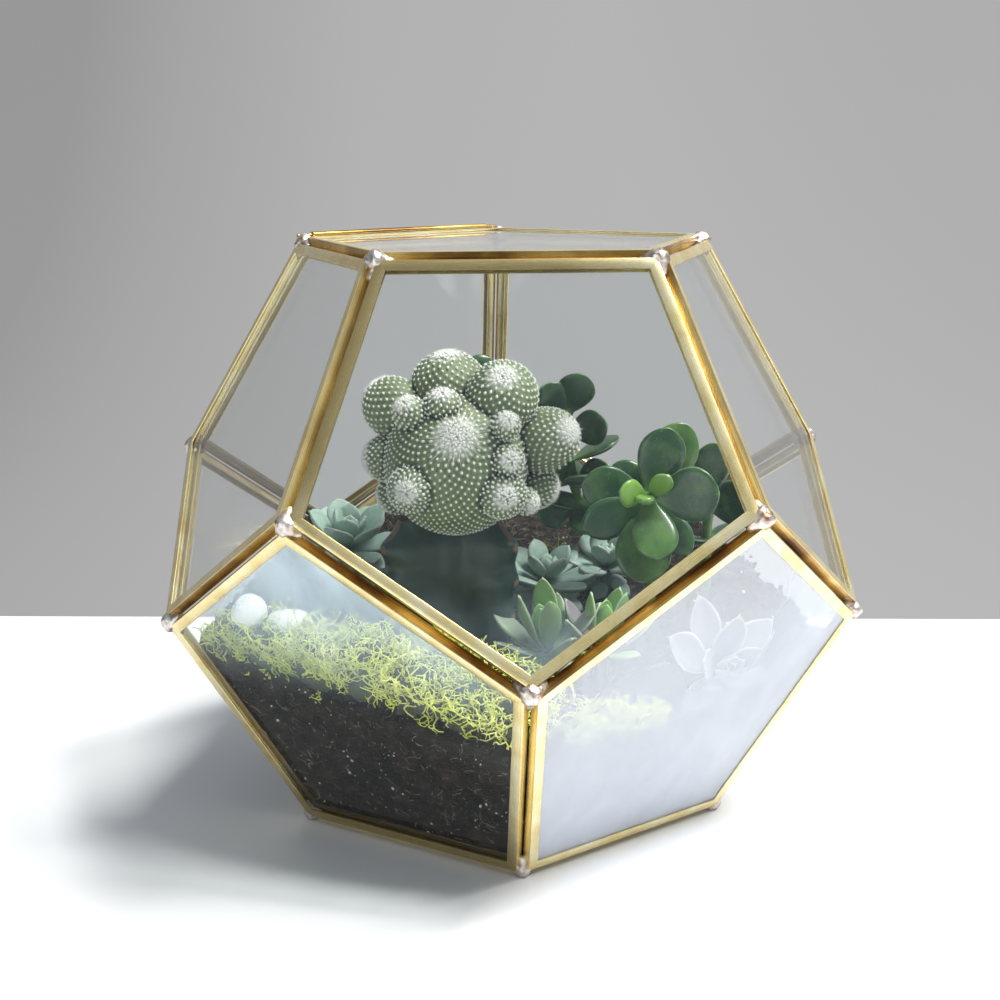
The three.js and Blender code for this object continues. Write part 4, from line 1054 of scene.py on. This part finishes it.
# Radius and path of each stem, and its leaves as foot, way, length and width. A leaf shows its face
# to the front unless it says otherwise.
JADES = {
    "jade_front": (2.2, upright_path(46, 2, (46, 1, 84), (44.5, -6, 97), (43, -19, 103)), [
        ((43, -17, 103), (6.3, 3, 21), 22, 15),
        ((44, -12, 101), (12, 6, 23), 26, 16),
        ((44, -19, 103), (20, -5, 2), 21, 17.5),
        ((43, -19, 102), (1.5, -9, -18), 20, 14.5),
        ((43, -13, 99), (-3, -7, -23), 25, 18),
        ((43.6, -15, 101), (12, -4, -17), 21, 11),
        ((42, -18, 103), (-10, -6, 3), 12, 9),
        ((43, -19, 103), (-4, -9, -1), 8, 6.5, UP),
        ((43, -19, 103), (5, -6, 8), 12, 7),
        ((43, -11, 101), (-19, 2, 4), 21, 15),
        ((44, -8, 98), (-10, 5, 12), 17, 12),
        ((43, -14, 100), (-20, 1, -8), 22, 13),
        *leaf_pair((45.5, 0, 88), 1.4, 18, 13, 0.2),
    ]),
    "jade_middle": (2.0, upright_path(28, 28, (27, 27, 85), (22, 18, 104), (20, 13, 126)), [
        ((20, 13, 124), (-8, -3, 9), 14, 11),
        ((20, 13, 124), (4, -2, 12), 15, 12.5),
        ((20.5, 14, 118), (11, -6, 3), 15, 12),
        ((20.5, 14, 118), (-10, -2, -1), 14, 11),
        *leaf_pair((21.5, 16, 108), 0.2, 18, 14, 0.3),
        *leaf_pair((23, 20, 99), 1.8, 16, 13, 0.25),
        ((22.5, 17, 106), (-11, -5, 4), 14, 11),
        ((24, 21, 100), (-11, -5, 7), 17, 13),
        ((24, 21, 99), (9, -7, 5), 17, 13),
        ((25, 23, 94), (-12, -6, -4), 18, 13),
        ((25, 23, 94), (3, -9, -8), 17, 13),
        *leaf_pair((26, 25, 89), 0.3, 19, 14, 0.2),
    ]),
    "jade_back": (1.9, upright_path(-8, 30, (-9, 30, 96), (-12, 24, 118), (-13, 18, 134)), [
        ((-13, 18, 133), (-6, -5, 12), 14.5, 11),
        ((-13, 19, 132), (7, 4, 8), 13, 10),
        *leaf_pair((-12.5, 22, 124), 1.2, 15, 12, 0.4),
    ]),
    "jade_right": (2.0, upright_path(66, 10, (66, 9, 88), (66, 7, 98)), [
        ((66, 7, 97), (1, -1, 18), 19, 13),
        ((66, 8, 93), (12, -8, 4), 17, 16),
        ((66, 8, 94), (-13, 2, 6), 15, 12),
        ((66, 8, 90), (1, 14, 5), 17, 13, UP),
        *leaf_pair((66, 9, 82), 0.5, 15, 11, 0.1),
    ]),
}


def make_plant(name, skin, look):
    skin.points = [keep_inside(points, 0.3) for points in skin.points]
    make_piece(name, skin, look)


def make_leafy_plants():
    jade = leaf_look("jade_leaf", (0.014, 0.060, 0.022), (0.22, 0.42, 0.06), (0.20, 0.32, 0.17),
                     (0.08, 0.19, 0.04), 0.30, rim_from=0.90, rim_share=0.7, coat=0.25, dots=0.45)
    random = np.random.default_rng(8)
    for name, (radius, path, leaves) in JADES.items():
        skin = Skin("margin", "along", "pick")
        for foot, way, length, width, *face in leaves:
            pick = 0.72 if length < 13 else 0.04 + 0.26 * random.random()
            add_leaf(skin, vec(*foot), way, *(face or [FRONT]), length, width, JADE_FORM, pick, 0.85)
        joints = 1 + 0.10 * np.cos(np.arange(40) * 2 * pi / 7)
        stem = tube(smooth_path(path, 40), radius * joints * np.linspace(1.05, 0.8, 40), 14)
        skin.add(*stem, along=0.25, pick=0.45)
        make_plant(name, skin, jade)
    pale = leaf_look("pale_leaf", (0.13, 0.24, 0.19), (0.28, 0.42, 0.34), (0.38, 0.43, 0.38),
                     (0.09, 0.17, 0.11), 0.55, bloom=(0.34, 0.44, 0.40), rim_from=0.8)
    lilac = leaf_look("lilac_leaf", (0.15, 0.15, 0.15), (0.28, 0.25, 0.28), (0.52, 0.50, 0.46),
                      (0.14, 0.20, 0.12), 0.6, bloom=(0.28, 0.27, 0.31), rim_from=0.62)
    green = leaf_look("pointed_leaf", (0.20, 0.17, 0.20), (0.22, 0.43, 0.12), (0.50, 0.62, 0.42),
                      (0.16, 0.12, 0.09), 0.42, rim_from=0.84, base_to=0.2)
    looks = ((pale, "pale_leaf"), (pale, "pale_leaf"), (lilac, "lilac_leaf"), (green, "pointed_leaf"))
    for (name, plans), (look, slot) in zip(ROSETTES.items(), looks):
        skin = Skin("margin", "along", "pick")
        for plan in plans:
            add_rosette(skin, plan)
        make_plant(name, skin, look)


# ---- moss and pebbles
MOSS_CUSHIONS = [  # x, y, z and radius; the first five make the left half
    (-75, -37, 55, 8), (-84, -32, 63, 11), (-74, -42, 63, 13), (-60, -52, 62, 15), (-45, -60, 62, 15),
    (-30, -68, 59, 14), (-16, -75, 55, 12), (-2, -79, 52, 11), (12, -76, 49, 10), (25, -70, 46, 10),
    (37, -63, 44, 8), (-23, -59, 63, 12), (-9, -66, 60, 11), (-2, -69, 60, 9), (5, -70, 55, 8),
    (15.5, 24, 71, 8),
]
STRAND = 0.33  # radius of a lichen strand at its foot
STRAND_DENSITY = 0.74  # strands on a cushion, as a share of its radius squared


def grow_strand(skin, foot, way, length, radius, pick, start, random, level):
    """A curling strand with side twigs, kept inside the glass."""
    steps = (6, 4, 3)[level]
    path = [foot]
    axis = random.normal(size=3) * 0.45
    for _ in range(steps - 1):
        way = unit(way + np.cross(axis, way) + random.normal(size=3) * 0.3)
        path.append(path[-1] + way * length / (steps - 1))
    path = keep_inside(path, 0.5)
    if lengths(np.diff(path, axis=0)).min() < 0.05:
        return
    along = np.linspace(start, min(start + 0.5, 1), steps)
    skin.add(*tube(path, radius * np.linspace(1, 0.6, steps), 3), pick=pick,
             along=np.append(np.repeat(along, 3), along[[0, -1]]))
    if level == 2:
        return
    for k in range(3 if level == 0 else 1 + int(random.random() < 0.5)):
        at = path[1 + k] if level == 0 else path[-1]
        side = unit(way * 0.6 + random.normal(size=3) * 0.8)
        grow_strand(skin, at, side, length * (0.45 if level == 0 else 0.4), radius * 0.75, pick,
                    min(start + 0.35, 1), random, level + 1)


def make_moss():
    random = np.random.default_rng(23)
    strands = moss_look()
    # Painted shade: a dark body inside each cushion, where there would be only shaded strands.
    shade_core = matte_look("moss_shade_core", (0.010, 0.017, 0.004), (0.050, 0.070, 0.012), 3, 0.9, 0.5)
    cushions = Skin()
    for half, chosen in (("left", MOSS_CUSHIONS[:5]), ("front", MOSS_CUSHIONS[5:])):
        skin = Skin("pick", "along")
        for x, y, z, radius in chosen:
            ways, faces = ball(4)
            swell = radius * 0.66 * (1 + rough(ways * radius + x, 3.2, 0.35))
            cushions.add(keep_inside(vec(x, y, z) + ways * swell[:, None] * vec(1, 1, 0.85), 1.6), [faces])
            for _ in range(int(STRAND_DENSITY * radius**2)):
                way = random.normal(size=3)
                way[2] = abs(way[2]) * 0.9 - 0.3
                way = unit(way)
                foot = vec(x, y, z) + way * radius * vec(0.66, 0.66, 0.58) * (0.8 + 0.3 * random.random())
                if foot[2] < soil_height(*foot[:2]) - 3:
                    continue
                # Painted light: strands higher on their cushion and further to the right get a lighter
                # colour, as if lit from above and from the right.
                pick = 0.10 + 0.5 * random.random() + 0.02 * (foot[2] - z) + 0.006 * (foot[0] + 84)
                grow_strand(skin, foot, way, radius * (0.5 + 0.3 * random.random()), STRAND,
                            np.clip(pick, 0, 1), 0.25, random, 0)
        make_piece("moss_" + half, skin, strands, "moss")
    make_piece("moss_shade_core", cushions, shade_core, "moss")


STONES = {  # two body colours, the veins' colour and the roughness
    "white_stone": ((0.80, 0.79, 0.77), (0.92, 0.92, 0.91), (0.62, 0.60, 0.57), 0.35),
    "green_stone": ((0.30, 0.34, 0.29), (0.46, 0.50, 0.43), (0.22, 0.24, 0.20), 0.55),
}
PEBBLES = {  # stone, middle, half sizes and turn
    "pebble_white_large": ("white_stone", (-79.5, -40.5, 74.5), (5.4, 4.6, 5.2), 0.4),
    "pebble_white_small": ("white_stone", (-67.5, -44, 72), (6.8, 5, 3.8), -0.3),
    "pebble_green": ("green_stone", (15, -47, 56.2), (4.6, 3.6, 3.4), 0.8),
}


def make_pebbles():
    looks = {stone: stone_look(stone, *plan) for stone, plan in STONES.items()}
    for name, (stone, at, size, turn) in PEBBLES.items():
        ways, faces = ball(4)
        swell = 1 + rough(ways * 5 + at[0], 6, 0.12) + rough(ways * 5, 1.5, 0.012)
        spin = np.array(Matrix.Rotation(turn, 3, "Z"))
        skin = Skin()
        skin.add(keep_inside(at + (ways * size * swell[:, None]) @ spin.T, 0.3), [faces])
        make_piece(name, skin, looks[stone])


# ---- stage, light and camera
TABLE_END = 0.203  # m, where the white table top ends behind the object
TABLE_TURN = radians(-4.5)
STAGE_HALF = 4.0
DAYLIGHT = (0.6, 0.15, 0.75)
LAMPS = {  # place, what it points at, size in m, watts and colour
    "window": ((0.74, -0.18, 1.50), (0, 0, 0.05), 0.6, 52, (1.0, 0.985, 0.95)),
    "front": ((-0.75, -1.5, 0.32), (0, 0, 0.08), 0.9, 6, (0.97, 0.98, 1.0)),
}
CAMERA_AT = (-27.66, -529.72, 213.51)
CAMERA_WAY = (0.04604, 0.97618, -0.21201)
CAMERA_ROLL = radians(-0.33)
LENS = 60.905


def add_stage(name, line, look):
    """A sheet as wide as the stage that follows a line of (y, z)."""
    mesh = bpy.data.meshes.new(name)
    points = [(x, y, z) for y, z in line for x in (-STAGE_HALF, STAGE_HALF)]
    faces = [(2 * k, 2 * k + 1, 2 * k + 3, 2 * k + 2) for k in range(len(line) - 1)]
    mesh.from_pydata(points, [], faces)
    mesh.polygons.foreach_set("use_smooth", np.ones(len(faces), bool))
    mesh.transform(Matrix.Rotation(TABLE_TURN, 4, "Z"))
    mesh.materials.append(look)
    add_object(name, mesh)


def make_stage():
    add_stage("table", [(-STAGE_HALF, 0), (TABLE_END, 0)], table_look())
    add_stage("wall", [(TABLE_END + t, 0.3 * t**3) for t in np.linspace(0, 2.3, 40)], wall_look())


def facing(way):
    """The turn that points a lamp or camera that way, upright."""
    return Vector(way).to_track_quat("-Z", "Y").to_matrix()


def make_light():
    """A soft bright room: daylight from high on the right, dim towards the left."""
    sky = Look("studio", "World")
    toward = sky.node("VectorMath", _0=sky.where.node.outputs["Generated"],
                      _1=Vector(DAYLIGHT).normalized())
    toward.operation = "DOT_PRODUCT"
    shade = sky.node("MapRange", Value=toward.outputs["Value"], From_Min=-0.5, To_Min=0.08, To_Max=0.52)
    glow = sky.node("Background", Color=(0.78, 0.89, 1.0, 1), Strength=shade)
    bpy.context.scene.world = sky.finish(glow)
    bpy.context.scene.view_settings.view_transform = "Standard"
    for name, (at, target, size, watts, colour) in LAMPS.items():
        lamp = bpy.data.lights.new(name, "AREA")
        lamp.size = size
        lamp.energy = watts
        lamp.color = colour
        turn = facing(Vector(target) - Vector(at)).to_4x4()
        add_object(name, lamp).matrix_world = Matrix.Translation(at) @ turn


def make_camera():
    lens = bpy.data.cameras.new("camera")
    lens.lens = LENS
    lens.clip_start = 0.01
    camera = add_object("camera", lens)
    turn = facing(CAMERA_WAY) @ Matrix.Rotation(CAMERA_ROLL, 3, "Z")
    camera.matrix_world = Matrix.Translation((CAMERA_AT + SHIFT) * MM) @ turn.to_4x4()
    bpy.context.scene.camera = camera


make_camera()
make_metal()
make_panes()
make_soil()
make_stock()
make_scion()
make_leafy_plants()
make_moss()
make_pebbles()
make_stage()
make_light()
